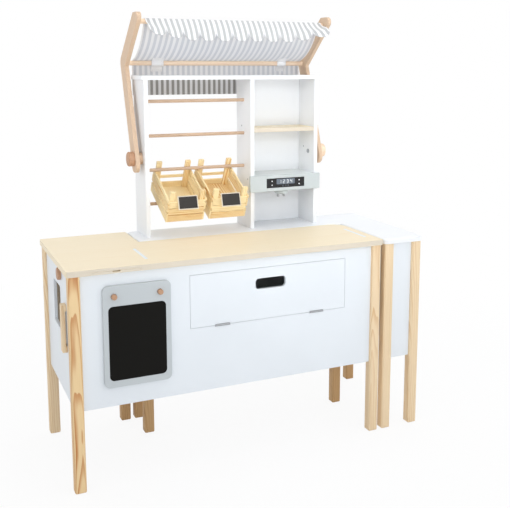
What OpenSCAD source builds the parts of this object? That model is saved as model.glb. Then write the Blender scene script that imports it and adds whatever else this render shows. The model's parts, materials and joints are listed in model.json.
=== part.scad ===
// Toy market stall: a wood-topped counter and a white shelf table, both L-shaped and nested,
// with a display shelf, two hanging crates and a tilting cloth awning. Millimetres, +Z up.

/* [Counter] */
// Height of both table tops above the floor
counter_h = 580; // [500:1:680]
// Length of the counter along the front
counter_len = 900; // [860:1:1050]
// Depth of the counter's long bar
counter_d = 260; // [240:1:300]
// Width of the counter's wing at the left
wing_w = 250; // [240:1:275]
// Depth of the wing and of the shelf table
stall_d = 410; // [395:1:460]
// Thickness of the table tops
top_t = 15; // [14:0.5:20]
// Small corner radius of the counter top
top_corner_r = 8; // [3:1:20]
// Radius of the counter's back right corner
top_big_r = 45; // [20:1:60]

/* [Legs and panels] */
// Side of a square leg
leg_w = 30; // [26:1:36]
// Distance from the edge of a top to its legs
leg_inset = 4; // [2:0.5:6]
// Radius of a leg's long edges
leg_edge_r = 7; // [3:0.5:10]
// Chamfer under a leg
leg_chamfer = 3; // [1:0.5:5]
// Thickness of the white panels
panel_t = 9; // [8:0.5:11]
// Distance from a leg's face back to its panel
panel_recess = 9; // [8:0.5:11]
// Height of the full panels below the tops
panel_h = 350; // [300:1:400]
// Height of the narrow apron
apron_h = 60; // [40:1:90]

/* [Partitions and storage] */
// Distance between the pull-out board's runner and the inner partition
partition_clear = 18.5; // [5:0.5:40]
// Distance from the right edge to the middle of the end panel
end_panel_in = 27; // [24:1:29]
// Distance from the front edge to the tenons
tenon_y = 55; // [40:1:80]
// Distance from the counter's back edge to the tenons
tenon_back = 78; // [50:1:110]
// Thickness of the storage shelf
storage_t = 12; // [9:0.5:18]
// Drop of the storage shelf below the flap
storage_drop = 12; // [6:1:40]

/* [Flap door] */
// Distance from the counter's right edge to the flap
flap_end = 120; // [80:1:150]
// Width of the flap
flap_w = 462; // [400:1:480]
// Height of the flap
flap_h = 143; // [110:1:160]
// Drop of the flap's upper edge below the counter's surface
flap_drop = 46; // [30:1:70]
// Gap round the flap
seam = 0.9; // [0.6:0.1:2.5]
// Length of the hand slot
hand_slot_w = 90; // [70:1:120]
// Height of the hand slot
hand_slot_h = 30; // [24:1:36]
// Drop of the hand slot's middle below the flap's top edge
hand_slot_drop = 44; // [34:1:60]
// Distance from the flap's ends to the middle of its hinges
hinge_in = 90; // [50:1:130]
// Length of a hinge
hinge_w = 42; // [30:1:60]
// Radius of a hinge barrel
barrel_r = 3; // [2.6:0.1:3.4]
// Radius of a hinge pin
hinge_pin_r = 1.25; // [1:0.05:1.4]
// Thickness of a hinge leaf
leaf_t = 1.2; // [1:0.1:1.4]
// Width of the catch behind the flap
catch_w = 60; // [30:1:120]
// Thickness of the catch
catch_t = 12; // [8:0.5:16]
// Overlap of the catch behind the flap
catch_lap = 10; // [6:0.5:16]
// Straight length at the hand slot's round ends
hand_slot_flat = 10; // [1:0.5:14]

/* [Pull-out board] */
// Distance from the left edge to the board
pull_x = 60; // [48:1:66]
// Width of the board
pull_w = 127; // [90:1:132]
// Length of the board
pull_len = 150; // [120:1:180]
// Thickness of the board
pull_t = 7; // [5:0.5:8]
// Width of the finger notch
notch_w = 20; // [14:1:30]
// Height of the finger notch
notch_h = 3; // [2:0.5:4]
// Depth of the finger notch
notch_in = 8; // [5:0.5:12]
// Width of the runners under the board
runner_w = 14; // [10:0.5:15]
// Height of the runners
runner_h = 12; // [8:0.5:20]
// Overlap of a runner below the board
runner_grip = 8; // [4:0.5:9]

/* [Chalk board] */
// Distance from the left edge to the board
chalk_x = 87; // [60:1:95]
// Width of the board
chalk_w = 176; // [168:1:185]
// Height of the board
chalk_h = 265; // [254:1:275]
// Drop of its top edge below the counter's surface
chalk_drop = 48; // [35:1:55]
// Thickness of the board
chalk_t = 9; // [7:0.5:9.5]
// Radius of its corners
chalk_r = 15; // [5:1:25]
// Margin beside the writing field
field_side = 13.5; // [8:0.5:25]
// Margin above the writing field
field_top = 53; // [45:1:70]
// Margin below the writing field
field_low = 18; // [10:1:25]
// Corner radius of the writing field
field_r = 12; // [4:1:20]
// Depth of the writing field's inlay
field_t = 1.5; // [1:0.1:3]
// Distance from the board's sides to the pegs
peg_side = 28.5; // [20:0.5:40]
// Drop of the pegs below the board's top edge
peg_drop = 27.5; // [20:0.5:35]
// Diameter of a peg
peg_d = 14; // [10:0.5:16]
// Length of a peg in front of the board
peg_out = 10; // [5:1:16]
// Wall left behind a peg's socket
peg_wall = 3; // [2:0.5:4]
// Edge radius of the pegs
peg_edge_r = 3; // [1:0.5:4]

/* [Side panel] */
// Distance from the front edge to the side window
window_y = 170; // [160:1:185]
// Width of the window
window_w = 102; // [70:1:120]
// Height of the window
window_h = 120; // [80:1:130]
// Depth of the window's upper edge below the counter's surface
window_drop = 80; // [75:1:110]
// Corner radius of the window
window_r = 8; // [3:1:20]
// Distance from the front edge to the middle of the bag knob
side_knob_y = 160; // [150:1:190]
// Drop of the bag knob's middle below the counter's surface
side_knob_drop = 42; // [36:1:58]
// Diameter of the bag knob
side_knob_d = 33; // [24:1:36]
// Reach of the bag knob
side_knob_out = 9; // [6:0.5:10]
// Edge radius of the bag knob
side_knob_edge_r = 3; // [1:0.5:4]
// Distance from the front edge to the bar handle
handle_y = 87; // [60:1:110]
// Drop of the bar handle's upper end below the counter's surface
handle_drop = 110; // [80:1:140]
// Length of the bar handle
handle_len = 135; // [100:1:160]
// Width of the bar handle
handle_w = 24; // [16:1:30]
// Reach of the bar handle
handle_out = 12; // [11.5:0.5:12.5]
// Thickness of the handle's bar
handle_bar_t = 6; // [5:0.5:6.5]
// Length of the handle's feet
handle_foot = 18; // [12:1:25]

/* [Shelf table] */
// Width of the shelf table's wing at the right
table_wing_w = 132; // [115:1:160]
// Gap between the counter's right edge and the shelf table
side_gap = 6; // [4:0.5:12]
// Gap between the counter's wing and the shelf table
wing_gap = 4; // [2:0.5:8]
// Gap between the counter's back edge and the shelf table
back_gap = 0.6; // [0.4:0.1:0.9]
// Corner radius of the white top
table_corner_r = 14; // [5:1:25]

/* [Display shelf] */
// Thickness of the shelf's boards
board_t = 12; // [10:0.5:14]
// Distance from the table's left edge to the shelf
shelf_in = 32; // [26:1:45]
// Clear width of the left bay
bay_left_w = 315; // [300:1:340]
// Clear width of the right bay
bay_right_w = 203; // [180:1:230]
// Depth of the shelf
shelf_d = 110; // [105:1:125]
// Height of the shelf
shelf_h = 465; // [445:1:490]
// Reach of the top board past the sides
top_over = 6; // [2:0.5:8]
// Thickness of the back panel
back_t = 6; // [4:0.5:8]
// Height of the bay shelf's upper face above the table
bay_shelf_z = 306; // [280:1:340]
// Diameter of a display rail
rail_d = 10; // [8:0.5:12]
// Height of the lowest rail above the table
rail_low = 89; // [80:1:95]
// Distance between the rails
rail_step = 100.5; // [98:0.5:104]
// Number of rails
rail_count = 4; // [3:1:4]
// Depth of the rail sockets
rail_socket = 6; // [4:0.5:8]

/* [Coffee machine] */
// Height of the machine's upper face above the table
machine_z = 162; // [150:1:190]
// Height of the front plate
machine_h = 49; // [46:1:60]
// Reach of the front plate past the bay's boards
machine_over = 5; // [2:0.5:8]
// Thickness of the front plate
machine_t = 9; // [7:0.5:12]
// Corner radius of the front plate
machine_r = 2; // [1:0.5:6]
// Width of the display
display_w = 128; // [100:1:150]
// Height of the display
display_h = 29; // [22:1:32]
// Thickness of the display
display_t = 1.6; // [1:0.1:2.5]
// Diameter of the brew head
brew_d = 42; // [36:1:50]
// Distance from the shelf's front edge to the brew head
brew_in = 4; // [2:0.5:12]
// Drop of the brew head below the front plate
brew_drop = 13; // [8:1:20]
// Edge radius of the brew head
brew_edge_r = 4; // [1:0.5:8]
// Diameter of a spout
spout_d = 8; // [6:0.5:10]
// Length of a spout
spout_len = 11; // [8:1:24]
// Distance between the two spouts
spout_gap = 20; // [14:1:26]
// Edge radius of a spout
spout_edge_r = 1.5; // [0.5:0.25:2.5]

/* [Awning] */
// Drop of the pivot below the shelf's upper face
pivot_drop = 238; // [225:1:245]
// Distance from the shelf's front edge back to the pivot
pivot_in = 38; // [34:1:42]
// Width of an arm
arm_w = 48; // [42:1:52]
// Thickness of an arm
arm_t = 12; // [10:0.5:14]
// Straight length at an arm's round ends
arm_flat = 2; // [1:0.5:10]
// Length from the pivot to the elbow
arm_lower = 291; // [285:1:310]
// Backward lean of the lower part
arm_lean = 20; // [19:0.5:22]
// Length from the elbow to the tip
arm_upper = 177; // [150:1:200]
// Forward lean of the upper part
arm_rake = 49.5; // [42:0.5:52]
// Length of the arm below the pivot, to its round end's centre
arm_tail = 16; // [10:1:22]
// Height of an arm's level top above the front rod's middle
arm_top = 24; // [18:1:28]
// Radius of the front corner at an arm's top
arm_tip_r = 15; // [3:1:16]
// Thickness of the spacers between arms and shelf
spacer_t = 12; // [10:0.5:14]
// Diameter of the spacers
spacer_d = 34; // [28:1:36]
// Diameter of the stop pegs
stop_d = 24; // [20:1:25]
// Height of the stop pegs along the arm
stop_up = 18; // [14:1:24]
// Edge radius of the stop pegs
stop_edge_r = 2; // [0.5:0.5:4]
// Diameter of the knobs
knob_d = 42; // [36:1:46]
// Thickness of the knobs
knob_t = 17; // [15:0.5:22]
// Edge radius of the knobs
knob_edge_r = 4; // [2:0.5:6]
// Wall of a knob over the bolt's end
knob_cap = 6; // [4:0.5:8]
// Radius of the pivot bolts
bolt_r = 4; // [3:0.25:5]
// Reach of a bolt's head past its shank
bolt_head_over = 2.5; // [1.5:0.25:4]
// Thickness of a bolt's head
bolt_head_t = 3; // [2:0.25:4]
// Diameter of the awning's rods
rod_d = 14; // [12:0.5:16]
// Wall of an arm outside the rods' sockets
rod_wall = 4; // [2:0.5:6]
// Slack of the cloth between the rods, as an angle at the rods
cloth_sag = 26; // [15:1:30]
// Thickness of the cloth with its hems
cloth_t = 2.5; // [2:0.1:3]
// Gap between the left arm and the cloth
cloth_left = 19; // [3:0.5:24]
// Gap between the cloth and the right arm
cloth_right = 7; // [3:0.5:24]
// Length of the flap behind the shelf
rear_drop = 95; // [60:1:105]
// Length of the valance
valance_drop = 76; // [60:1:90]
// Forward lean of the valance
valance_lean = 35; // [0:1:45]
// Depth of the scallops
scallop_depth = 23; // [8:1:28]
// Number of scallops
scallop_count = 11; // [8:1:12]
// Forward swell of each scallop
scallop_swell = 5; // [2:0.5:8]
// Width of the ties round the middle rod
tie_w = 30; // [20:1:40]
// Distance from the left arm to the middle of its tie
tie_left = 96; // [60:1:140]
// Distance from the right arm to the middle of its tie
tie_right = 76; // [60:1:140]
// Angle left free between the ties and the cloth
tie_clear = 5; // [3:1:12]

/* [Crates] */
// Width of a crate
crate_w = 115; // [105:1:125]
// Length of a crate
crate_len = 165; // [140:1:185]
// Forward tilt of the crates
crate_tilt = 26.5; // [22:0.5:30]
// Distance of the pair of crates left of the bay's middle
crate_shift = 1.5; // [0:0.5:6]
// Distance between the two crates
crate_gap = 16; // [6:1:20]
// Thickness of a slat
slat_t = 5; // [4:0.5:6]
// Clearance between the side slats and the rail above them
wall_clear = 4; // [2:0.5:10]
// Height of the lowest slats at the sides and the back
slat_low_h = 29; // [22:1:32]
// Height of the uppermost side slats
slat_top_h = 12; // [8:1:20]
// Gap above the lowest side slats
slat_gap = 7.5; // [4:0.5:9]
// Gap below the uppermost side slats
slat_gap_top = 4; // [2:0.5:6]
// Height of the back slat's lower edge
back_slat_z = 44; // [40:1:50]
// Height of the back slat
back_slat_h = 9; // [6:0.5:12]
// Number of front slats
front_rows = 3; // [2:1:3]
// Height of a front slat
front_slat_h = 22; // [18:1:24]
// Gap between front slats
front_gap = 2; // [1:0.5:4]
// Thickness of the crate's floor
floor_t = 4; // [3:0.5:6]
// Height of the floor above the crate's lower edge
floor_up = 8; // [2:1:14]
// Width of a corner post
post_w = 16; // [12:1:20]
// Thickness of a corner post
post_t = 9; // [7:0.5:11]
// Reach of the back posts past the middle of their rail
post_over = 22; // [14:1:28]
// Height of the front posts
post_front_h = 100; // [84:1:105]
// Width of a price label
label_w = 60; // [45:1:70]
// Height of a price label
label_h = 40; // [30:1:46]
// Thickness of a price label
label_t = 3; // [2:0.5:5]
// Backward lean of the labels
label_lean = 17; // [5:1:25]
// Length of a label below the crate's front edge
label_below = 24; // [20:1:28]
// Width of the wedge that holds a label
wedge_w = 14; // [8:1:30]
// Length of the wedge's faces
wedge_h = 18; // [10:1:20]

/* [Fits] */
// Clearance between parts that slide or lift off
slide_fit = 0.3; // [0.2:0.05:0.4]
// Radial clearance of parts that turn on a pin
turn_fit = 0.05; // [0.02:0.01:0.09]
// Clearance of glued pegs, tenons and slats
glue_fit = 0.1; // [0.05:0.05:0.2]

/* [Hidden] */
$fn = 48;
// Overshoot of cutting tools
eps = 0.5;
// Facets of the cloth: steps round the rods, along the slack and across a scallop
wrap_steps = 8;
slack_steps = 10;
rear_steps = 5;
scallop_steps = 6;
valance_rows = 4;

birch = [0.95, 0.90, 0.78];
pine = [0.88, 0.72, 0.50];
beech = [0.86, 0.70, 0.56];
white = [0.95, 0.95, 0.95];
grey = [0.80, 0.84, 0.86];
black = [0.10, 0.10, 0.09];
steel = [0.70, 0.70, 0.72];
cloth_grey = [0.86, 0.87, 0.88];
crate_wood = [0.92, 0.76, 0.47];
hardboard = [0.55, 0.44, 0.31];

// Heights
under_z = counter_h - top_t;
panel_z = under_z - panel_h;

// Counter, with x from its left edge and y from its front edge
panel_x = leg_inset + leg_w;
panel_y = leg_inset + panel_recess;
panel_back = panel_y + panel_t;
right_leg_x = counter_len - leg_inset - leg_w;
back_leg_y = stall_d - leg_inset - leg_w;
bar_leg_y = counter_d - leg_inset - leg_w;
wing_leg_x = wing_w - leg_inset - leg_w;
apron_y = stall_d - panel_y - panel_t;
end_panel_x = counter_len - end_panel_in;
partition_x = pull_x + pull_w - runner_grip + runner_w + partition_clear + panel_t / 2;
tenon_len = counter_d - tenon_y - tenon_back;
partition_back = counter_d - leg_inset;

// Flap door and its hinges
flap_x = counter_len - flap_end - flap_w;
flap_z = counter_h - flap_drop - flap_h;
flap_t = panel_t - slide_fit;
hinge_y = panel_y;
hinge_z = flap_z - seam / 2;
hinge_xs = [flap_x + hinge_in, flap_x + flap_w - hinge_in];
leaf_gap = slide_fit;
barrel_clear_r = barrel_r + 2 * slide_fit;
knuckle = hinge_w / 3;
hand_slot_x = flap_x + flap_w / 2;
hand_slot_z = flap_z + flap_h - hand_slot_drop;
hand_slot_r = (hand_slot_h - hand_slot_flat) / 2;
storage_z = flap_z - storage_drop - storage_t;

// Chalk board
chalk_y = panel_y - slide_fit - chalk_t;
chalk_z = counter_h - chalk_drop - chalk_h;
field_x = chalk_x + field_side;
field_z = chalk_z + field_low;
field_w = chalk_w - 2 * field_side;
field_h = chalk_h - field_low - field_top;
peg_z = chalk_z + chalk_h - peg_drop;
peg_xs = [chalk_x + peg_side, chalk_x + chalk_w - peg_side];
peg_socket = panel_t - peg_wall;
peg_tip_y = chalk_y - peg_out;

// Side panel
window_z = counter_h - window_drop - window_h;
side_knob_z = counter_h - side_knob_drop;
handle_z = counter_h - handle_drop - handle_len;

// Shelf table and display shelf
table_x = wing_w + wing_gap;
table_y = counter_d + back_gap;
table_wing_x = counter_len + side_gap;
stall_len = table_wing_x + table_wing_w;
shelf_x = table_x + shelf_in;
bay_left_x = shelf_x + board_t;
divider_x = bay_left_x + bay_left_w;
bay_right_x = divider_x + board_t;
right_panel_x = bay_right_x + bay_right_w;
shelf_end_x = right_panel_x + board_t;
shelf_y = stall_d - shelf_d;
side_board_h = shelf_h - board_t;
rail_y = shelf_y + shelf_d / 2;
rail_r = rail_d / 2;
rail_zs = [for (i = [0:rail_count - 1]) counter_h + rail_low + i * rail_step];
bay_depth = shelf_d - back_t;
bay_mid_x = bay_right_x + bay_right_w / 2;
machine_low = counter_h + machine_z - machine_h;
brew_y = shelf_y + brew_in + brew_d / 2;
brew_z = machine_low - brew_drop;
display_z = machine_low + (machine_h - display_h) / 2;

// Awning, in the plane of the arms as [y, z]
pivot = [shelf_y + pivot_in, counter_h + shelf_h - pivot_drop];
lower_dir = [sin(arm_lean), cos(arm_lean)];
upper_dir = [-sin(arm_rake), cos(arm_rake)];
elbow = pivot + arm_lower * lower_dir;
tip = elbow + arm_upper * upper_dir;
tail = pivot - arm_tail * lower_dir;
arm_end_r = (arm_w - arm_flat) / 2;
upper_reach = arm_upper + (arm_top + arm_w / 2 * sin(arm_rake)) / cos(arm_rake);
lower_back = [cos(arm_lean), -sin(arm_lean)];
stop = pivot + stop_up * lower_dir + (arm_w / 2 + stop_d / 2 + slide_fit) * lower_back;
arm_left_x = shelf_x - spacer_t - arm_t;
arm_right_x = shelf_end_x + spacer_t;
rod_socket = arm_t - rod_wall;
rod_r = rod_d / 2;
bolt_end = knob_t - knob_cap;

// Cloth path round the rods: arcs joined by one curve, as [[y, z], [normal y, normal z]]
cloth_in_r = rod_r + slide_fit;
wrap_r = cloth_in_r + cloth_t / 2;
chord_normal = atan2(tip[1] - elbow[1], elbow[0] - tip[0]);
chord_up = 90 - chord_normal;
leave_angle = chord_up - cloth_sag;
meet_angle = chord_up + cloth_sag;
function on_circle(centre, r, a) = centre + r * [cos(a), sin(a)];
function cross_2d(a, b) = a[0] * b[1] - a[1] * b[0];
leave = on_circle(tip, wrap_r, leave_angle);
meet = on_circle(elbow, wrap_r, meet_angle);
leave_dir = [sin(leave_angle), -cos(leave_angle)];
meet_dir = [sin(meet_angle), -cos(meet_angle)];
bend = leave + leave_dir * cross_2d(meet - leave, meet_dir) / cross_2d(leave_dir, meet_dir);
function slack_point(t) = (1 - t) * (1 - t) * leave + 2 * t * (1 - t) * bend + t * t * meet;
function slack_dir(t) = (1 - t) * (bend - leave) + t * (meet - bend);
function left_of(d) = [-d[1], d[0]] / norm(d);
function wrap(centre, from, to, steps) = [
  for (i = [0:steps])
    let (a = from + (to - from) * i / steps)
      [on_circle(centre, wrap_r, a), [cos(a), sin(a)]]
];
front_wrap = wrap(tip, 180 - valance_lean, leave_angle, wrap_steps);
slack = [
  for (i = [1:slack_steps - 1])
    let (t = i / slack_steps)
      [slack_point(t), left_of(slack_dir(t))]
];
rear_wrap = wrap(elbow, meet_angle, 0, rear_steps);
rear_hem = [[[elbow[0] + wrap_r, elbow[1] - rear_drop], [1, 0]]];
cloth_path = concat(front_wrap, slack, rear_wrap, rear_hem);
sheet_x = arm_left_x + arm_t + cloth_left;
sheet_w = arm_right_x - cloth_right - sheet_x;
tie_xs = [arm_left_x + arm_t + tie_left, arm_right_x - tie_right];

// Crates: the back posts stand behind the second rail and the sides lie on the lowest rail
crate_fwd = [-cos(crate_tilt), -sin(crate_tilt)];
crate_up = [-sin(crate_tilt), cos(crate_tilt)];
post_front = slat_t + glue_fit + post_t;
crate_f = [rail_y, rail_zs[1]] * crate_fwd - rail_r - slide_fit - post_front;
crate_u = [rail_y, rail_zs[0]] * crate_up + rail_r + slide_fit;
crate_origin = crate_f * crate_fwd + crate_u * crate_up;
pair_x = bay_left_x + bay_left_w / 2 - crate_shift;
crate_xs = [pair_x - crate_gap / 2 - crate_w, pair_x + crate_gap / 2];
rail_rise = rail_step * cos(crate_tilt) - rail_r - slide_fit;
post_back_h = rail_rise + post_over;
wall_h = rail_rise - rail_r - wall_clear;
slat_mid_z = slat_low_h + slat_gap;
slat_mid_h = wall_h - slat_mid_z - slat_gap_top - slat_top_h;
front_top = front_rows * front_slat_h + (front_rows - 1) * front_gap;
floor_top = floor_up + floor_t;

// The origin lies on the floor, in the middle of the whole stall
y_mid = (peg_tip_y + elbow[0] + arm_w / 2) / 2;

module stall() {
  translate([-stall_len / 2, -y_mid, 0]) children();
}

// Helpers
module corner_cut(r) {
  difference() {
    translate([-eps, -eps]) square(r + eps);
    translate([r, r]) circle(r);
  }
}

// Flat outline with its own radius at the front left, front right, back right and back left
module rounded_plate(size, radii) {
  difference() {
    square(size);
    if (radii[0] > 0) corner_cut(radii[0]);
    if (radii[1] > 0) translate([size[0], 0]) rotate(90) corner_cut(radii[1]);
    if (radii[2] > 0) translate(size) rotate(180) corner_cut(radii[2]);
    if (radii[3] > 0) translate([0, size[1]]) rotate(270) corner_cut(radii[3]);
  }
}

// Extrudes an outline drawn in x and z over a thickness in y
module facing_front(pos, t) {
  translate([pos[0], pos[1] + t, pos[2]]) rotate([90, 0, 0]) linear_extrude(t) children();
}

// Extrudes an outline drawn in y and z over a thickness in x
module facing_side(pos, t) {
  translate(pos) rotate([90, 0, 90]) linear_extrude(t) children();
}

module bar_x(pos, r, len) {
  translate(pos) rotate([0, 90, 0]) cylinder(r = r, h = len);
}

// Turned piece along +Z with a rounded outer edge
module turned(d, len, edge) {
  rotate_extrude() union() {
    square([d / 2, len - edge]);
    square([d / 2 - edge, len]);
    translate([d / 2 - edge, len - edge]) circle(edge);
  }
}

module leg(pos) {
  side = leg_w;
  c = leg_chamfer;
  foot = [[c, 0], [side - c, 0], [side, c], [side, under_z], [0, under_z], [0, c]];
  color(pine) stall() translate([pos[0], pos[1], 0]) intersection() {
    linear_extrude(under_z) rounded_plate([side, side], [for (i = [0:3]) leg_edge_r]);
    facing_front([0, 0, 0], side) polygon(foot);
    facing_side([0, 0, 0], side) polygon(foot);
  }
}

// Counter
module counter_top() {
  color(birch) stall() difference() {
    translate([0, 0, under_z]) linear_extrude(top_t) union() {
      rounded_plate([counter_len, counter_d], [top_corner_r, top_corner_r, top_big_r, 0]);
      rounded_plate([wing_w, stall_d], [top_corner_r, 0, top_corner_r, top_corner_r]);
    }
    for (x = [partition_x, end_panel_x])
      translate([x - panel_t / 2 - glue_fit, tenon_y - glue_fit, under_z - eps])
        cube([panel_t + 2 * glue_fit, tenon_len + 2 * glue_fit, top_t + 2 * eps]);
    translate([pull_x - slide_fit, -eps, under_z - eps])
      cube([pull_w + 2 * slide_fit, pull_len + slide_fit + eps, pull_t + 2 * slide_fit + eps]);
  }
}

module counter_leg_front_left() leg([leg_inset, leg_inset]);
module counter_leg_front_right() leg([right_leg_x, leg_inset]);
module counter_leg_back_left() leg([leg_inset, back_leg_y]);
module counter_leg_back_right() leg([right_leg_x, bar_leg_y]);
module counter_leg_wing_back() leg([wing_leg_x, back_leg_y]);

// Room that a hinge needs in the edge of a panel, from its barrel and one leaf
module hinge_room(x, side) {
  bar_x([x - hinge_w / 2 - slide_fit, hinge_y, hinge_z], barrel_clear_r, hinge_w + 2 * slide_fit);
  low = side > 0 ? hinge_z : hinge_z - leaf_gap / 2 - leaf_t;
  translate([x - hinge_w / 2 - slide_fit, hinge_y - eps, low])
    cube([hinge_w + 2 * slide_fit, panel_t + 2 * eps, leaf_gap / 2 + leaf_t]);
}

module counter_front_panel() {
  len = right_leg_x - panel_x;
  color(white) stall() difference() {
    facing_front([panel_x, panel_y, panel_z], panel_t) difference() {
      square([len, panel_h]);
      translate([flap_x - seam - panel_x, flap_z - seam - panel_z])
        square([flap_w + 2 * seam, flap_h + 2 * seam]);
    }
    for (x = hinge_xs) hinge_room(x, -1);
    for (x = peg_xs)
      translate([x, panel_y + peg_socket, peg_z]) rotate([90, 0, 0])
        cylinder(d = peg_d + 2 * glue_fit, h = peg_socket + eps);
  }
}

module counter_side_panel() {
  len = back_leg_y - panel_x;
  color(white) stall() facing_side([panel_y, panel_x, panel_z], panel_t) difference() {
    square([len, panel_h]);
    translate([window_y - panel_x, window_z - panel_z])
      rounded_plate([window_w, window_h], [for (i = [0:3]) window_r]);
  }
}

module tenon_panel(x, front, back) {
  color(white) stall() union() {
    translate([x - panel_t / 2, front, panel_z]) cube([panel_t, back - front, panel_h]);
    translate([x - panel_t / 2, tenon_y, under_z - eps]) cube([panel_t, tenon_len, top_t + eps]);
  }
}

module counter_partition() tenon_panel(partition_x, panel_back, partition_back);
module counter_end_panel() tenon_panel(end_panel_x, panel_x, bar_leg_y);

module wing_back_panel() {
  color(hardboard) stall() translate([panel_x, apron_y, panel_z])
    cube([wing_leg_x - panel_x, panel_t, panel_h]);
}

// Shelf and back board behind the flap, with a corner cut round the front right leg
module storage_shelf() {
  left = partition_x + panel_t / 2;
  right = end_panel_x - panel_t / 2;
  color(white) stall() difference() {
    union() {
      translate([left, panel_back, storage_z])
        cube([right - left, bar_leg_y - panel_back, storage_t]);
      translate([left, bar_leg_y - panel_t, storage_z])
        cube([right - left, panel_t, under_z - storage_z]);
    }
    translate([right_leg_x - glue_fit, panel_back - eps, storage_z - eps])
      cube([leg_w, panel_x - panel_back + eps + glue_fit, storage_t + 2 * eps]);
  }
}

module flap_catch() {
  low = flap_z + flap_h - catch_lap;
  color(beech) stall() translate([hand_slot_x - catch_w / 2, panel_back, low])
    cube([catch_w, catch_t, under_z - low]);
}

module board_runners() {
  xs = [pull_x + runner_grip - runner_w, pull_x + pull_w - runner_grip];
  color(beech) stall() for (x = xs)
    translate([x, panel_back, under_z - runner_h])
      cube([runner_w, pull_len - panel_back, runner_h]);
}

module side_knob() {
  color(beech) stall() translate([panel_y, side_knob_y, side_knob_z]) rotate([0, -90, 0])
    turned(side_knob_d, side_knob_out, side_knob_edge_r);
}

module side_handle() {
  gap = handle_out - handle_bar_t;
  color(pine) stall() difference() {
    translate([panel_y - handle_out, handle_y, handle_z]) cube([handle_out, handle_w, handle_len]);
    translate([panel_y - gap, handle_y - eps, handle_z + handle_foot])
      cube([gap + eps, handle_w + 2 * eps, handle_len - 2 * handle_foot]);
  }
}

module chalk_pegs() {
  color(beech) stall() for (x = peg_xs)
    translate([x, panel_y + peg_socket - glue_fit, peg_z]) rotate([90, 0, 0])
      turned(peg_d, panel_y + peg_socket - glue_fit - peg_tip_y, peg_edge_r);
}

// One leaf with its knuckles: side -1 is below the axis with two knuckles, +1 above with one
module hinge_leaf(x, side) {
  low = side < 0 ? -leaf_gap / 2 - leaf_t : leaf_gap / 2;
  step = side < 0 ? [0, 2] : [1];
  other = side < 0 ? [1] : [0, 2];
  translate([x - hinge_w / 2, hinge_y, hinge_z]) difference() {
    union() {
      translate([0, 0, low]) cube([hinge_w, panel_t, leaf_t]);
      for (k = step) bar_x([k * knuckle + slide_fit / 2, 0, 0], barrel_r, knuckle - slide_fit);
    }
    for (k = other)
      translate([k * knuckle - slide_fit / 2, -barrel_r - eps, -barrel_r - eps])
        cube([knuckle + slide_fit, barrel_r + eps + barrel_clear_r, 2 * barrel_r + 2 * eps]);
    bar_x([-eps, 0, 0], hinge_pin_r + turn_fit, hinge_w + 2 * eps);
  }
}

module hinge_frame_leaves() {
  color(steel) stall() for (x = hinge_xs) {
    hinge_leaf(x, -1);
    bar_x([x - hinge_w / 2, hinge_y, hinge_z], hinge_pin_r, hinge_w);
  }
}

module hinge_flap_leaves() {
  color(steel) stall() for (x = hinge_xs) hinge_leaf(x, 1);
}

module flap_door() {
  color(white) stall() difference() {
    facing_front([flap_x, panel_y, flap_z], flap_t) difference() {
      square([flap_w, flap_h]);
      translate([hand_slot_x - hand_slot_w / 2 - flap_x, hand_slot_z - hand_slot_h / 2 - flap_z])
        rounded_plate([hand_slot_w, hand_slot_h], [for (i = [0:3]) hand_slot_r]);
    }
    for (x = hinge_xs) hinge_room(x, 1);
  }
}

module pull_out_board() {
  color(birch) stall() difference() {
    translate([pull_x, 0, under_z + slide_fit]) cube([pull_w, pull_len, pull_t]);
    translate([pull_x + (pull_w - notch_w) / 2, -eps, under_z + slide_fit + pull_t - notch_h])
      cube([notch_w, notch_in + eps, notch_h + eps]);
  }
}

module chalk_board() {
  color(grey) stall() difference() {
    facing_front([chalk_x, chalk_y, chalk_z], chalk_t)
      rounded_plate([chalk_w, chalk_h], [for (i = [0:3]) chalk_r]);
    facing_front([field_x - glue_fit, chalk_y - eps, field_z - glue_fit], field_t + eps)
      rounded_plate([field_w + 2 * glue_fit, field_h + 2 * glue_fit], [for (i = [0:3]) field_r + glue_fit]);
    for (x = peg_xs)
      translate([x, chalk_y + chalk_t + eps, peg_z]) rotate([90, 0, 0])
        cylinder(d = peg_d + 2 * slide_fit, h = chalk_t + 2 * eps);
  }
}

module chalk_field() {
  color(black) stall() facing_front([field_x, chalk_y + glue_fit, field_z], field_t - glue_fit)
    rounded_plate([field_w, field_h], [for (i = [0:3]) field_r]);
}

// Shelf table
module table_top() {
  r = table_corner_r;
  color(white) stall() translate([0, 0, under_z]) linear_extrude(top_t) union() {
    translate([table_x, table_y])
      rounded_plate([stall_len - table_x, stall_d - table_y], [r, 0, r, r]);
    translate([table_wing_x, 0]) rounded_plate([table_wing_w, stall_d], [r, r, r, 0]);
  }
}

module table_leg_back_left() leg([table_x + leg_inset, back_leg_y]);
module table_leg_front_left() leg([table_x + leg_inset, table_y + leg_inset]);
module table_leg_wing_left() leg([table_wing_x + leg_inset, leg_inset]);
module table_leg_wing_right() leg([stall_len - leg_inset - leg_w, leg_inset]);
module table_leg_back_right() leg([stall_len - leg_inset - leg_w, back_leg_y]);

module wing_front_panel() {
  color(white) stall() translate([table_wing_x + panel_x, panel_y, panel_z])
    cube([table_wing_w - 2 * panel_x, panel_t, panel_h]);
}

module wing_side_panel() {
  color(white) stall() translate([stall_len - panel_y - panel_t, panel_x, panel_z])
    cube([panel_t, back_leg_y - panel_x, panel_h]);
}

module table_back_apron() {
  left = table_x + leg_inset + leg_w;
  color(white) stall() translate([left, apron_y, under_z - apron_h])
    cube([stall_len - leg_inset - leg_w - left, panel_t, apron_h]);
}

// Display shelf
module side_board(x) {
  translate([x, shelf_y, counter_h]) cube([board_t, shelf_d, side_board_h]);
}

module rail_sockets(x) {
  for (z = rail_zs) bar_x([x, rail_y, z], rail_r + glue_fit, rail_socket + eps);
}

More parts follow.
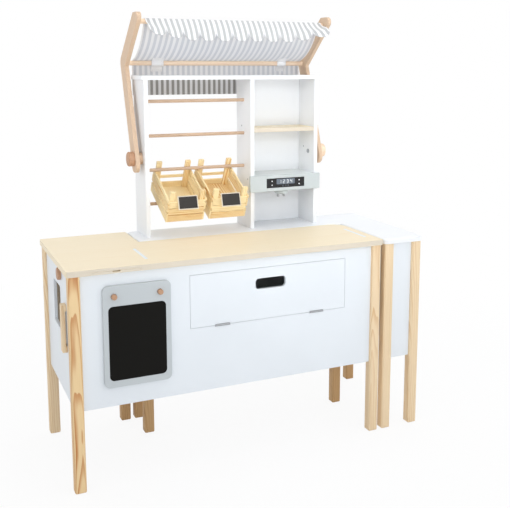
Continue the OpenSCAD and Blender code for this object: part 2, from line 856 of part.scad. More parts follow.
module bolt_hole(x) {
  bar_x([x - eps, pivot[0], pivot[1]], bolt_r + turn_fit, board_t + 2 * eps);
}

module shelf_left_panel() {
  color(white) stall() difference() {
    side_board(shelf_x);
    rail_sockets(bay_left_x - rail_socket);
    bolt_hole(shelf_x);
  }
}

module shelf_divider() {
  color(white) stall() difference() {
    side_board(divider_x);
    rail_sockets(divider_x - eps);
  }
}

module shelf_right_panel() {
  color(white) stall() difference() {
    side_board(right_panel_x);
    bolt_hole(right_panel_x);
  }
}

module shelf_top_board() {
  color(white) stall() translate([shelf_x - top_over, shelf_y, counter_h + side_board_h])
    cube([shelf_end_x - shelf_x + 2 * top_over, shelf_d, board_t]);
}

module shelf_back_panel() {
  color(white) stall() translate([bay_right_x, stall_d - back_t, counter_h])
    cube([bay_right_w, back_t, side_board_h]);
}

module bay_shelf() {
  color(birch) stall() translate([bay_right_x, shelf_y, counter_h + bay_shelf_z - board_t])
    cube([bay_right_w, bay_depth, board_t]);
}

module display_rails() {
  tenon = rail_socket - glue_fit;
  color(beech) stall() for (z = rail_zs)
    bar_x([bay_left_x - tenon, rail_y, z], rail_r, bay_left_w + 2 * tenon);
}

module machine_front() {
  len = bay_right_w + 2 * board_t + 2 * machine_over;
  color(grey) stall() difference() {
    facing_front([bay_mid_x - len / 2, shelf_y - machine_t, machine_low], machine_t)
      rounded_plate([len, machine_h], [for (i = [0:3]) machine_r]);
    translate([bay_mid_x - display_w / 2 - glue_fit, shelf_y - machine_t - eps, display_z - glue_fit])
      cube([display_w + 2 * glue_fit, display_t + eps, display_h + 2 * glue_fit]);
  }
}

module machine_top() {
  color(grey) stall() translate([bay_right_x, shelf_y, counter_h + machine_z - board_t])
    cube([bay_right_w, bay_depth, board_t]);
}

module machine_display() {
  color(black) stall() translate([bay_mid_x - display_w / 2, shelf_y - machine_t, display_z])
    cube([display_w, display_t - glue_fit, display_h]);
}

module brew_head() {
  top = counter_h + machine_z - board_t;
  color(beech) stall() translate([bay_mid_x, brew_y, top]) rotate([180, 0, 0])
    turned(brew_d, top - brew_z, brew_edge_r);
}

module brew_spouts() {
  color(steel) stall() for (side = [-1, 1])
    translate([bay_mid_x + side * spout_gap / 2, brew_y, brew_z]) rotate([180, 0, 0])
      turned(spout_d, spout_len, spout_edge_r);
}

// Bolts run from inside the bays through board, spacer and arm into the knobs
module pivot_bolt(head_x, dir) {
  reach = board_t + spacer_t + arm_t + bolt_end;
  translate([head_x, pivot[0], pivot[1]]) rotate([0, 90 * dir, 0]) {
    translate([0, 0, -bolt_head_t]) cylinder(r = bolt_r + bolt_head_over, h = bolt_head_t);
    translate([0, 0, -eps]) cylinder(r = bolt_r, h = reach + eps);
  }
}

module pivot_bolts() {
  color(steel) stall() {
    pivot_bolt(bay_left_x, -1);
    pivot_bolt(right_panel_x, 1);
  }
}

module arm_spacers() {
  color(beech) stall() for (x = [shelf_x - spacer_t + slide_fit, shelf_end_x])
    difference() {
      bar_x([x, pivot[0], pivot[1]], spacer_d / 2, spacer_t - slide_fit);
      bar_x([x - eps, pivot[0], pivot[1]], bolt_r + turn_fit, spacer_t + 2 * eps);
    }
}

module stop_pegs() {
  len = spacer_t + arm_t;
  color(beech) stall() {
    translate([shelf_x, stop[0], stop[1]]) rotate([0, -90, 0]) turned(stop_d, len, stop_edge_r);
    translate([shelf_end_x, stop[0], stop[1]]) rotate([0, 90, 0]) turned(stop_d, len, stop_edge_r);
  }
}

// Awning
module arm_lower_bar() {
  translate(tail) rotate(90 - arm_lean) translate([-arm_w / 2, -arm_w / 2])
    rounded_plate([arm_tail + arm_lower + arm_w, arm_w], [for (i = [0:3]) arm_end_r]);
}

// Upper part of an arm, from the round elbow to a level top with a rounded front corner
module arm_upper_bar() {
  side = [cos(arm_rake), sin(arm_rake)];
  corner = elbow + upper_reach * upper_dir - arm_w / 2 * side;
  tangent = arm_tip_r / tan((90 - arm_rake) / 2);
  centre = corner + [tangent, -arm_tip_r];
  room = 2 * arm_w;
  difference() {
    translate(elbow) rotate(90 + arm_rake) translate([-arm_w / 2, -arm_w / 2])
      rounded_plate([upper_reach + arm_w / 2, arm_w], [arm_end_r, 0, 0, arm_end_r]);
    translate(corner - [room, 0]) square([2 * room, room]);
    difference() {
      polygon([
        corner + eps * ([0, 1] - side) / (1 - side[1]), corner + [tangent, eps],
        centre, corner - tangent * upper_dir - eps * side
      ]);
      translate(centre) circle(arm_tip_r);
    }
  }
}

module arm(x, inner_x, dir) {
  color(beech) stall() difference() {
    facing_side([x, 0, 0], arm_t) union() {
      arm_lower_bar();
      arm_upper_bar();
    }
    bar_x([x - eps, pivot[0], pivot[1]], bolt_r + turn_fit, arm_t + 2 * eps);
    for (p = [elbow, tip])
      translate([inner_x, p[0], p[1]]) rotate([0, -90 * dir, 0]) translate([0, 0, -eps])
        cylinder(r = rod_r + glue_fit, h = rod_socket + eps);
  }
}

module arm_left() arm(arm_left_x, arm_left_x + arm_t, 1);
module arm_right() arm(arm_right_x, arm_right_x, -1);

module rod(p) {
  inner = rod_socket - glue_fit;
  color(beech) stall() bar_x([arm_left_x + arm_t - inner, p[0], p[1]], rod_r,
                             arm_right_x - arm_left_x - arm_t + 2 * inner);
}

module front_rod() rod(tip);
module middle_rod() rod(elbow);

module awning_sheet() {
  outer = [for (p = cloth_path) p[0] + p[1] * cloth_t / 2];
  inner = [for (i = [len(cloth_path) - 1:-1:0]) cloth_path[i][0] - cloth_path[i][1] * cloth_t / 2];
  color(cloth_grey) stall() facing_side([sheet_x, 0, 0], sheet_w) polygon(concat(outer, inner));
}

// Valance: a scalloped, softly fluted strip, as a grid of front and back points
valance_cols = scallop_count * scallop_steps;
function lobe(i) = 2 * (i % scallop_steps) / scallop_steps - 1;
function lobe_round(i) = sqrt(1 - lobe(i) * lobe(i));
function valance_len(i) = valance_drop - scallop_depth * (1 - lobe_round(i));
valance_out = [-cos(valance_lean), sin(valance_lean)];
valance_down = [-sin(valance_lean), -cos(valance_lean)];
function valance_point(i, j, back) =
  let (
    share = j / valance_rows,
    out = wrap_r + cloth_t / 2 - back * cloth_t + scallop_swell * lobe_round(i) * share,
    p = tip + out * valance_out + valance_len(i) * share * valance_down
  ) [sheet_x + sheet_w * i / valance_cols, p[0], p[1]];
function valance_index(i, j, back) = (back * (valance_rows + 1) + j) * (valance_cols + 1) + i;
function quad(a, b, c, d) = [[a, b, c], [a, c, d]];

module awning_valance() {
  n = valance_cols;
  m = valance_rows;
  points = [for (back = [0, 1], j = [0:m], i = [0:n]) valance_point(i, j, back)];
  v = function (i, j, back) valance_index(i, j, back);
  front = [
    for (j = [0:m - 1], i = [0:n - 1])
      each quad(v(i, j, 0), v(i + 1, j, 0), v(i + 1, j + 1, 0), v(i, j + 1, 0))
  ];
  rear = [
    for (j = [0:m - 1], i = [0:n - 1])
      each quad(v(i, j + 1, 1), v(i + 1, j + 1, 1), v(i + 1, j, 1), v(i, j, 1))
  ];
  hems = [
    for (i = [0:n - 1], j = [0, m])
      each j == 0
        ? quad(v(i, 0, 1), v(i + 1, 0, 1), v(i + 1, 0, 0), v(i, 0, 0))
        : quad(v(i, m, 0), v(i + 1, m, 0), v(i + 1, m, 1), v(i, m, 1))
  ];
  ends = [
    for (j = [0:m - 1], i = [0, n])
      each i == 0
        ? quad(v(0, j, 0), v(0, j + 1, 0), v(0, j + 1, 1), v(0, j, 1))
        : quad(v(n, j + 1, 0), v(n, j, 0), v(n, j, 1), v(n, j + 1, 1))
  ];
  color(cloth_grey) stall() polyhedron(points, concat(front, rear, hems, ends));
}

// Bands round the front of the middle rod, open where the cloth lies against it
module rod_ties() {
  inner = rod_r + glue_fit;
  outer = inner + cloth_t;
  lap = acos(cloth_in_r / outer) + tie_clear;
  open_from = -lap;
  open_to = meet_angle + lap;
  reach = 3 * outer;
  color(white) stall() for (x = tie_xs)
    facing_side([x - tie_w / 2, elbow[0], elbow[1]], tie_w) difference() {
      circle(outer);
      circle(inner);
      polygon([[0, 0], on_circle([0, 0], reach, open_from), [reach, 0], on_circle([0, 0], reach, open_to)]);
    }
}

module knob(x, dir) {
  color(beech) stall() translate([x, pivot[0], pivot[1]]) rotate([0, 90 * dir, 0]) difference() {
    translate([0, 0, slide_fit]) turned(knob_d, knob_t, knob_edge_r);
    cylinder(r = bolt_r + turn_fit, h = bolt_end + 2 * slide_fit);
  }
}

module knob_left() knob(arm_left_x, -1);
module knob_right() knob(arm_right_x + arm_t, 1);

// Crates, drawn flat with the back at y = 0 and the front towards -Y, then tilted onto the rails
module on_rails(x) {
  stall() translate([x, crate_origin[0], crate_origin[1]]) rotate([crate_tilt, 0, 0]) children();
}

module crate(x) {
  post_x = [slat_t + glue_fit, crate_w - slat_t - glue_fit - post_w];
  sides = [[0, slat_low_h], [slat_mid_z, slat_mid_h], [wall_h - slat_top_h, slat_top_h]];
  backs = [[0, slat_low_h], [back_slat_z, back_slat_h]];
  fronts = [for (i = [0:front_rows - 1]) [i * (front_slat_h + front_gap), front_slat_h]];
  post_low = floor_top + glue_fit;
  floor_x = slat_t + glue_fit;
  inner_len = crate_len - 2 * slat_t - 2 * glue_fit;
  cross_w = crate_w - 2 * floor_x;
  color(crate_wood) on_rails(x) {
    for (sx = [0, crate_w - slat_t], s = sides)
      translate([sx, -crate_len, s[0]]) cube([slat_t, crate_len, s[1]]);
    for (s = backs)
      translate([floor_x, -slat_t, s[0]]) cube([cross_w, slat_t, s[1]]);
    for (s = fronts)
      translate([floor_x, -crate_len, s[0]]) cube([cross_w, slat_t, s[1]]);
    for (px = post_x) {
      translate([px, -post_front, post_low]) cube([post_w, post_t, post_back_h - post_low]);
      translate([px, -crate_len + slat_t + glue_fit, post_low])
        cube([post_w, post_t, post_front_h - post_low]);
    }
    translate([floor_x, -slat_t - glue_fit - inner_len, floor_up]) cube([cross_w, inner_len, floor_t]);
  }
}

// Label that leans back over the crate's front edge, with the wedge that holds it to the slats
module crate_label(x) {
  turn = label_lean + crate_tilt;
  seat = [-crate_len - glue_fit, front_top];
  down = [-sin(turn), -cos(turn)];
  inside = seat + label_t / 2 * [-cos(turn), sin(turn)];
  color(black) on_rails(x) union() {
    translate([(crate_w - label_w) / 2, seat[0], seat[1]]) rotate([-turn, 0, 0])
      translate([0, -label_t, -label_below]) cube([label_w, label_t, label_h]);
    facing_side([(crate_w - wedge_w) / 2, 0, 0], wedge_w)
      polygon([
        seat - [0, label_t], seat - [0, wedge_h], inside + wedge_h * down, inside + label_t * down
      ]);
  }
}

module crate_left() crate(crate_xs[0]);
module crate_left_label() crate_label(crate_xs[0]);
module crate_right() crate(crate_xs[1]);
module crate_right_label() crate_label(crate_xs[1]);

counter_top();
counter_leg_front_left();
counter_leg_front_right();
counter_leg_back_left();
counter_leg_back_right();
counter_leg_wing_back();
counter_front_panel();
counter_side_panel();
counter_partition();
counter_end_panel();
wing_back_panel();
storage_shelf();
flap_catch();
board_runners();
side_knob();
side_handle();
chalk_pegs();
hinge_frame_leaves();
pull_out_board();
chalk_board();
chalk_field();
flap_door();
hinge_flap_leaves();
table_top();
table_leg_back_left();
table_leg_front_left();
table_leg_wing_left();
table_leg_wing_right();
table_leg_back_right();
wing_front_panel();
wing_side_panel();
table_back_apron();
shelf_left_panel();
shelf_divider();
shelf_right_panel();
shelf_top_board();
shelf_back_panel();
bay_shelf();
display_rails();
machine_front();
machine_top();
machine_display();
brew_head();
brew_spouts();
pivot_bolts();
arm_spacers();
stop_pegs();
arm_left();
arm_right();
front_rod();
middle_rod();
awning_sheet();
awning_valance();
rod_ties();
knob_left();
knob_right();
crate_left();
crate_left_label();
crate_right();
crate_right_label();
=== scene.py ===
"""Toy market stall: wooden counter, white shelf table, crates and striped awning, dressed over their solids."""

import json
import random
from itertools import accumulate
from math import atan2, cos, degrees, pi, radians, sin

import bmesh
import bpy
from mathutils import Matrix, Vector, noise

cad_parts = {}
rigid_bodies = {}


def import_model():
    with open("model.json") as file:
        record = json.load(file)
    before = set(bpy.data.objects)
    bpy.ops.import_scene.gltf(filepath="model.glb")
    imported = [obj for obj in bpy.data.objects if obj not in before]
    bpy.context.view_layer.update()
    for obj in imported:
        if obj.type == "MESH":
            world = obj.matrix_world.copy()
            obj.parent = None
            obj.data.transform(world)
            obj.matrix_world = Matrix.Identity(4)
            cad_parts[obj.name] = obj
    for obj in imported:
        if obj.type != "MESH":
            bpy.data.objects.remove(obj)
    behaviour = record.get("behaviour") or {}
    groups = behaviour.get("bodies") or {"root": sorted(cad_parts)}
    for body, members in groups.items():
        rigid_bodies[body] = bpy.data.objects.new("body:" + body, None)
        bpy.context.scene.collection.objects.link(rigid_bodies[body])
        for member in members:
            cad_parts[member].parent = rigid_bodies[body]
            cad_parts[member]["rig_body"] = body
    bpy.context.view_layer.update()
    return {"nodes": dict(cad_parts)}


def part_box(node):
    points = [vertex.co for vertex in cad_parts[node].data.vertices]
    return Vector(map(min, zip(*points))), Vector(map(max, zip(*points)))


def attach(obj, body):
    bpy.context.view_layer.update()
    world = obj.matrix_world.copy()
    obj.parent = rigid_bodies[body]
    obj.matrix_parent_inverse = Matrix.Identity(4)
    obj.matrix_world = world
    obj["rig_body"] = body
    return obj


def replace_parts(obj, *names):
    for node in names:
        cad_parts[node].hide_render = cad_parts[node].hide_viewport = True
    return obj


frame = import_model()

bl_info = {
    "name": "Toy market stall",
    "version": (1, 0, 0),
    "blender": (4, 5, 0),
    "location": "3D View > Sidebar > Stall",
    "description": "Dresses a toy market stall: wood, paint, crates and striped awning",
    "category": "Add Mesh",
}

MM = 0.001


def tint(name, description, red, green, blue):
    """A colour that a user may change, given in 0 to 255 as it looks on a screen."""
    shade = (red / 255, green / 255, blue / 255)
    return bpy.props.FloatVectorProperty(
        name=name, description=description, default=shade, subtype="COLOR_GAMMA", min=0, max=1
    )


def size(name, description, millimetres):
    """A length that a user may change, given in millimetres."""
    return bpy.props.FloatProperty(
        name=name, description=description, default=millimetres * MM, min=0, unit="LENGTH", precision=5
    )


def rounding(name, where, millimetres):
    """The rounding of an edge, in millimetres."""
    return size(name + " edge", "Rounding along the " + where, millimetres)


class StallSizes(bpy.types.PropertyGroup):
    """Lengths of the stall's finer forms."""

    top_edge: rounding("Top", "upper edges of both tops", 4)
    board_edge: rounding("Board", "edges of the painted boards", 1)
    leg_edge: rounding("Leg", "sharp edges of the legs", 1.2)
    arm_edge: rounding("Arm", "edges of the awning's arms", 2.5)
    slat_edge: rounding("Slat", "edges of the crates' slats", 0.9)
    metal_edge: rounding("Metal", "edges of bolts, spouts and display", 0.3)
    hinge_edge: rounding("Hinge", "edges of the hinges", 0.15)
    under_edge: rounding("Under", "tops' lower edges and slits", 0.7)
    pull_edge: rounding("Pull", "edges of the pull-out board", 0.6)
    field_edge: rounding("Field", "edges of the chalk field", 0.25)
    label_edge: rounding("Label", "edges of a price label", 0.4)
    seam_edge: rounding("Seam", "flap's lower seam", 0.1)
    cloth_thickness: size("Cloth thickness", "Thickness of the awning's cloth", 1.1)
    cloth_wave: size("Cloth wave", "Height of the cloth's soft waves between the rods", 2.2)
    valance_length: size("Valance length", "Length of the valance below the front rod", 71)
    scallop_depth: size("Scallop depth", "Depth of the valance's scallops", 29)
    label_border: size("Label border", "Width of the pale border of a price label", 3)
    digit_height: size("Digit height", "Height of the digits on the display", 10)


class StallColours(bpy.types.PropertyGroup):
    """Colours of the stall's finishes."""

    birch: tint("Birch", "Counter top and bay shelf", 243, 228, 198)
    birch_line: tint("Birch line", "Growth lines of the birch", 231, 205, 158)
    # Greyer colour that the birch faces looking to the front or back take
    birch_edge: tint("Birch edge", "Sawn edges of the birch boards", 217, 207, 191)
    pine: tint("Pine", "Front left leg", 239, 209, 160)
    pine_line: tint("Pine line", "Growth lines of the pine", 188, 112, 46)
    # Painted shade: the pine made darker for the legs at the back and inside, which stand in the tables' shade
    shaded: tint("Shaded pine", "Legs at the back and inside", 205, 166, 118)
    shaded_line: tint("Shaded pine line", "Growth lines of the dark pine", 166, 116, 66)
    # Partly painted light: paler than the pine partly by the wood's own tone, and on the back left leg as light painted
    # where that leg stands in shade
    ash: tint("Pale pine", "Paler legs and bar handle", 240, 216, 180)
    ash_line: tint("Pale pine line", "Growth lines of the pale pine", 214, 172, 122)
    beech: tint("Beech", "Arms, spacers and stops", 219, 192, 165)
    beech_line: tint("Beech line", "Flecks of the beech", 197, 154, 116)
    rail: tint("Rail", "Rails across the left bay", 205, 177, 152)
    rail_line: tint("Rail line", "Flecks of the rails", 178, 138, 104)
    # Partly painted light: paler than the arms' beech, partly the rods' own tone and partly to make up for light the
    # rods lack; on the right knob it is painted light only, for strong light falls on it from the right
    rod: tint("Pale beech", "Rods and right knob of the awning", 248, 224, 198)
    rod_line: tint("Pale beech line", "Flecks of the pale beech", 220, 180, 142)
    knob: tint("Knob", "Left knob, bag knob and pegs", 191, 150, 120)
    knob_line: tint("Knob line", "Flecks of the knobs", 176, 128, 94)
    crate: tint("Crate wood", "Slats of the crates", 250, 231, 185)
    crate_line: tint("Crate line", "Growth lines and knots of the crates", 214, 160, 86)
    white: tint("White paint", "Panels below the tops", 233, 238, 243)
    shelf: tint("Shelf white", "Shelf and white top", 242, 244, 247)
    grey: tint("Grey paint", "Coffee machine's front", 198, 206, 208)
    # Painted light: the front's grey paint made paler for the machine's lid, which sits in the shade of the bay shelf
    # above it
    lid: tint("Lit lid grey", "Coffee machine's lid", 224, 231, 233)
    frame: tint("Frame grey", "Chalk board's frame", 195, 201, 204)
    black: tint("Blackboard", "Chalk field", 10, 9, 6)
    # Painted reflection: the blackboard colour made lighter for the price labels, which tilt up towards the light
    label: tint("Label", "Writing fields of the price labels", 62, 59, 57)
    hardboard: tint("Hardboard", "Raw back board of the counter's wing", 224, 210, 190)
    display: tint("Display", "Glossy panel of the coffee machine", 14, 15, 17)
    screen: tint("Screen", "Field behind the digits", 96, 106, 118)
    digit: tint("Digits", "Digits and buttons of the display", 224, 228, 234)
    steel: tint("Steel", "Hinges, bolts, screws and spouts", 188, 190, 194)
    cloth_white: tint("Cloth white", "Pale stripes of the awning", 248, 248, 249)
    cloth_grey: tint("Cloth grey", "Grey stripes of the valance", 200, 201, 202)
    # Painted light: paler grey stripes where the slack between the rods is brightly lit
    cloth_lit_grey: tint("Cloth lit grey", "Grey stripes between the rods", 226, 228, 232)
    # Painted shade: darker grey stripes where the rear hem hangs in the shade of the shelf's board
    cloth_shaded_grey: tint("Cloth shaded grey", "Grey stripes of the rear hem", 150, 148, 145)
    floor: tint("Floor", "Studio floor", 246, 246, 246)


def sizes():
    """The lengths that the user has set."""
    return bpy.context.scene.stall_sizes


def colour(name):
    """One of the stall's colours as linear red, green, blue and alpha."""
    shown = getattr(bpy.context.scene.stall_colours, name)
    return tuple(c / 12.92 if c <= 0.04045 else ((c + 0.055) / 1.055) ** 2.4 for c in shown) + (1.0,)


def scaled(shade, share, lift=0.0):
    """A linear colour made darker or lighter."""
    return tuple(min(1.0, c * share + lift) for c in shade[:3]) + (1.0,)


# Finishes


def maths(operation, swapped=False):
    """A method of Wire that adds a Math node."""

    def method(self, other=0.0):
        first, second = (other, self) if swapped else (self, other)
        return self.finish.node("Math", {0: first, 1: second}, operation=operation)

    return method


class Wire:
    """A value inside a finish. Arithmetic on it adds the Math nodes."""

    def __init__(self, finish, socket):
        self.finish = finish
        self.socket = socket

    def out(self, name):
        """Another output of the same node."""
        return Wire(self.finish, self.socket.node.outputs[name])

    __add__, __radd__ = maths("ADD"), maths("ADD", swapped=True)
    __sub__, __rsub__ = maths("SUBTRACT"), maths("SUBTRACT", swapped=True)
    __mul__, __truediv__ = maths("MULTIPLY"), maths("DIVIDE")
    __pow__, __gt__ = maths("POWER"), maths("GREATER_THAN")
    larger = maths("MAXIMUM")
    fract, sine, absolute = maths("FRACT"), maths("SINE"), maths("ABSOLUTE")


class Nodes:
    """A node tree that expressions add nodes to."""

    def __init__(self, tree):
        self.tree = tree

    def node(self, kind, values=None, out=0, **settings):
        """Adds a shader node: its settings first, then the values or links of its sockets."""
        made = self.tree.nodes.new("ShaderNode" + kind)
        for name, value in settings.items():
            setattr(made, name, value)
        for name, value in (values or {}).items():
            self.feed(made.inputs[name], value)
        return Wire(self, made.outputs[out])

    def feed(self, socket, value):
        if isinstance(value, Wire):
            self.tree.links.new(value.socket, socket)
        else:
            socket.default_value = value

    def surface(self, shader):
        """Links a shader to the tree's output."""
        end = next(n for n in self.tree.nodes if n.bl_idname in ("ShaderNodeOutputMaterial", "ShaderNodeOutputWorld"))
        self.feed(end.inputs["Surface"], shader)

    def place(self):
        """Metres in the stall's own frame."""
        return self.node("TexCoord", out="Object")

    def attribute(self, name, out="Vector"):
        return self.node("Attribute", out=out, attribute_name=name)

    def stretched(self, vector, scale):
        return self.node("VectorMath", {0: vector, 1: scale}, operation="MULTIPLY")

    def noise(self, vector, scale, detail=2.0, roughness=0.5):
        """Noise of so many cells in a metre, or in a metre along each axis."""
        if isinstance(scale, tuple):
            vector, scale = self.stretched(vector, scale), 1.0
        values = {"Vector": vector, "Scale": scale, "Detail": detail, "Roughness": roughness}
        return self.node("TexNoise", values)

    def parts(self, vector):
        x = self.node("SeparateXYZ", {"Vector": vector})
        return x, x.out("Y"), x.out("Z")

    def between(self, value, low, high):
        """0 below low, 1 above high and a soft step between them."""
        ends = {"Value": value, "From Min": low, "From Max": high}
        return self.node("MapRange", ends, interpolation_type="SMOOTHSTEP")

    def mix(self, factor, first, second):
        return self.node("Mix", {0: factor, 6: first, 7: second}, out=2, data_type="RGBA")


class Finish(Nodes):
    """A material made of nodes round one Principled shader."""

    def __init__(self, name):
        self.material = bpy.data.materials.new(name)
        self.material.use_nodes = True
        super().__init__(self.material.node_tree)
        self.shader = self.tree.nodes["Principled BSDF"]

    def set(self, **values):
        """Sets or links sockets of the Principled shader, named in lower case."""
        for name, value in values.items():
            title = name.replace("_", " ").title().replace("Ior", "IOR")
            self.feed(self.shader.inputs[title], value)

    def bump(self, height, strength, distance):
        values = {"Height": height, "Strength": strength, "Distance": distance}
        self.set(normal=self.node("Bump", values))

    def tone(self, factor, shade, share, lift=0.0):
        """A colour that goes over into a darker or lighter one."""
        full = colour(shade)
        return self.mix(factor, full, scaled(full, share, lift))


# Cells of noise in a metre of wood: along the board, across it and into it
SLOW_CELLS = (1.7, 14, 14)
RIPPLE_CELLS = (9, 60, 60)
FIBRE_CELLS = (11, 620, 620)
FLECK_CELLS = (95, 1500, 1500)
KNOT_CELLS = (7, 16, 16)


def wood(finish, shade, ring, lines, fibres, flecks, knots=0.0, gloss=0.5, lean=0.02, vary=0.1, edge=None):
    """Planed wood that follows each board's own grain: growth rings, fibres, flecks and knots.

    ring is the width of a year, and lines, fibres, flecks and knots say how strongly each shows. lean is how far
    the rings drift along a board, vary is how much the boards differ in tone, and edge is a greyer colour for the
    faces that look to the front or back."""
    grain = finish.attribute("grain")
    along, across, deep = finish.parts(grain)
    slow = finish.noise(grain, SLOW_CELLS)
    ripple = finish.noise(grain, RIPPLE_CELLS)
    side = across + along * lean + (slow - 0.5) * (ring * 9)
    core = deep + (slow - 0.5) * (ring * 5) + 0.03
    year = (side * side + core * core) ** 0.5 / ring + (ripple - 0.5) * 0.5
    band = year.fract()
    late = finish.between(band, 0.35, 0.93) * (1 - finish.between(band, 0.94, 1.0))
    fibre = finish.noise(grain, FIBRE_CELLS, 3.0, 0.6)
    dash = finish.noise(grain, FLECK_CELLS, 1.0)
    fleck = finish.between(dash, 0.58, 0.7)
    strength = finish.between(slow, 0.25, 0.75) * 0.7 + 0.3
    tone = late * strength * lines + (fibre - 0.5) * fibres + fleck * flecks + (slow - 0.45) * 0.18
    tone = tone + finish.attribute("board", "Fac") * vary
    if knots:
        cells = {"Vector": finish.stretched(grain, KNOT_CELLS), "Scale": 1.0, "Randomness": 1.0}
        knot = finish.node("TexVoronoi", cells, feature="F1")
        heart = 1 - finish.between(knot, 0.05, 0.19)
        rim = (1 - finish.between(knot, 0.16, 0.42)) * finish.between((knot * 21).sine(), -0.2, 0.9)
        tone = tone + heart * knots + rim * (knots * 0.4)
    tone = finish.between(tone, -0.1, 1.1)
    base = finish.mix(tone, colour(shade), colour(shade + "_line"))
    # Faces that look to the front or back go over into the edge colour
    if edge:
        facing = finish.parts(finish.node("TexCoord", out="Normal"))[1].absolute()
        base = finish.mix(finish.between(facing, 0.3, 0.9) * (0.8 + fibre * 0.2), base, colour(edge))
    finish.set(base_color=base, roughness=gloss + (fibre - 0.5) * 0.14 + late * 0.05, specular_ior_level=0.35)
    finish.bump(late * 0.35 + fibre * 0.5 + fleck * 0.15, 0.22, 0.6 * MM)


def paint(finish, shade, gloss=0.38):
    """Sprayed paint: a fine orange skin, faint clouds of colour and a few scuffs."""
    place = finish.place()
    cloud = finish.noise(place, 5.0, 3.0)
    peel = finish.noise(place, 420.0)
    rub = finish.between(finish.noise(place, 38.0, 5.0, 0.7), 0.62, 0.78)
    base = finish.tone(finish.between(cloud, 0.3, 0.7) * 0.55 + rub * 0.3, shade, 0.955)
    finish.set(base_color=base, roughness=gloss + rub * 0.14 + (peel - 0.5) * 0.08, specular_ior_level=0.4)
    finish.bump(peel * 0.6 + cloud * 0.4, 0.06, 0.5 * MM)


def blackboard(finish, shade):
    """Matt blackboard with old chalk dust wiped over it."""
    place = finish.place()
    wipe = finish.noise(place, (9, 9, 26), 4.0, 0.65)
    dust = finish.between(wipe, 0.48, 0.85)
    speck = finish.noise(place, 900.0, 2.0)
    base = finish.tone(dust * 0.8, shade, 1.5, 0.004)
    finish.set(base_color=base, roughness=0.72 + dust * 0.2, specular_ior_level=0.18)
    finish.bump(speck, 0.15, 0.4 * MM)


def fibreboard(finish, shade):
    """Raw pressed board: matted fibres, dark flecks and a faint sieve print."""
    place = finish.place()
    mat = finish.noise(place, (140, 140, 140), 5.0, 0.7)
    fleck = finish.between(finish.noise(place, 700.0, 2.0), 0.6, 0.72)
    cloud = finish.noise(place, 9.0, 3.0)
    shaded = (mat - 0.5) * 0.9 + fleck * 0.35 + finish.between(cloud, 0.3, 0.7) * 0.25
    base = finish.tone(finish.between(shaded, -0.1, 0.9), shade, 0.62)
    finish.set(base_color=base, roughness=0.75 + mat * 0.15, specular_ior_level=0.2)
    finish.bump(mat + fleck * 0.4, 0.25, 0.5 * MM)


def plastic(finish, shade, gloss):
    """Smooth plastic with faint wipe marks."""
    smear = finish.noise(finish.place(), (30, 30, 90), 4.0)
    finish.set(base_color=finish.tone(smear, shade, 1.25, 0.004), roughness=gloss + smear * 0.12)


def metal(finish, shade):
    """Brushed steel with fine drawn lines."""
    drawn = finish.noise(finish.place(), (60, 2400, 2400))
    full = colour(shade)
    finish.set(base_color=finish.mix(drawn, scaled(full, 0.72), full), metallic=0.9, roughness=0.28 + drawn * 0.2)
    finish.bump(drawn, 0.1, 0.3 * MM)


STRIPES = 33
YARN = 0.9 * MM
STITCH = 5 * MM
THREAD = (0.5, 0.5, 0.52, 1.0)


def woven(finish, kind):
    """Cotton: striped cloth or plain tape, with yarn, slubs and a stitched hem.

    The cloth's zone says where its grey stripes are paler as painted light, where both stripes are darker as painted
    shade in the rear hem, and where light comes through."""
    finish.set(roughness=0.86, sheen_weight=0.25, sheen_roughness=0.5, specular_ior_level=0.15)
    weave = finish.attribute("weave")
    across, along, hem = finish.parts(weave)
    turn = 2 * pi
    warp = (across * (turn / YARN)).sine()
    weft = (along * (turn / YARN)).sine()
    slub = finish.noise(weave, (900, 60, 0))
    cloud = finish.noise(weave, 25.0, 3.0)
    if kind == "cloth":
        pale = colour("cloth_white")
        low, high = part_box("awning_sheet")
        wander = (finish.noise(weave, (0, 90, 0), 1.0) - 0.5) * (0.5 * MM)
        phase = ((across + wander) / ((high.x - low.x) / STRIPES)).fract()
        stripe = finish.between((phase - 0.5).absolute(), 0.235, 0.265)
        lit_share, rear, slack = finish.parts(finish.attribute("zone"))
        # Painted light and shade: grey stripes paler where the cloth is lit, and both stripes darker in the shaded rear
        # hem
        grey = finish.mix(lit_share, colour("cloth_grey"), colour("cloth_lit_grey"))
        grey = finish.mix(rear, grey, colour("cloth_shaded_grey"))
        base = finish.mix(stripe, grey, finish.mix(rear, pale, scaled(pale, 0.76)))
    else:
        base = finish.tone(cloud, "cloth_white", 0.93)
    dash = ((along + across) * (turn / STITCH)).sine() > 0.1
    stitch = finish.between(hem, 5.2 * MM, 5.6 * MM) * (1 - finish.between(hem, 6.6 * MM, 7 * MM)) * dash
    shaded = finish.mix(stitch * 0.35 + (slub - 0.5) * 0.2 + (cloud - 0.5) * 0.12, base, THREAD)
    finish.set(base_color=shaded)
    fold = 1 - finish.between(hem, 6.8 * MM, 7.8 * MM)
    finish.bump(warp * weft * 0.25 + slub * 0.4 + fold * 1.6 - stitch * 0.8, 0.35, 0.5 * MM)
    if kind == "cloth":
        shader = Wire(finish, finish.shader.outputs[0])
        through = finish.node("BsdfTranslucent", {"Color": shaded})
        finish.surface(finish.node("MixShader", {0: 0.1 + slack * 0.4, 1: shader, 2: through}))


BIRCH = {
    "ring": 7.5 * MM, "lines": 0.42, "fibres": 0.5, "flecks": 0.12, "gloss": 0.42, "lean": 0.012, "edge": "birch_edge",
}
PINE = {"ring": 5.5 * MM, "lines": 0.8, "fibres": 0.45, "flecks": 0.0, "lean": 0.03}
BEECH = {"ring": 6 * MM, "lines": 0.22, "fibres": 0.5, "flecks": 0.4}
CRATE = {"ring": 5 * MM, "lines": 0.75, "fibres": 0.5, "flecks": 0.0, "knots": 0.95, "vary": 0.28}

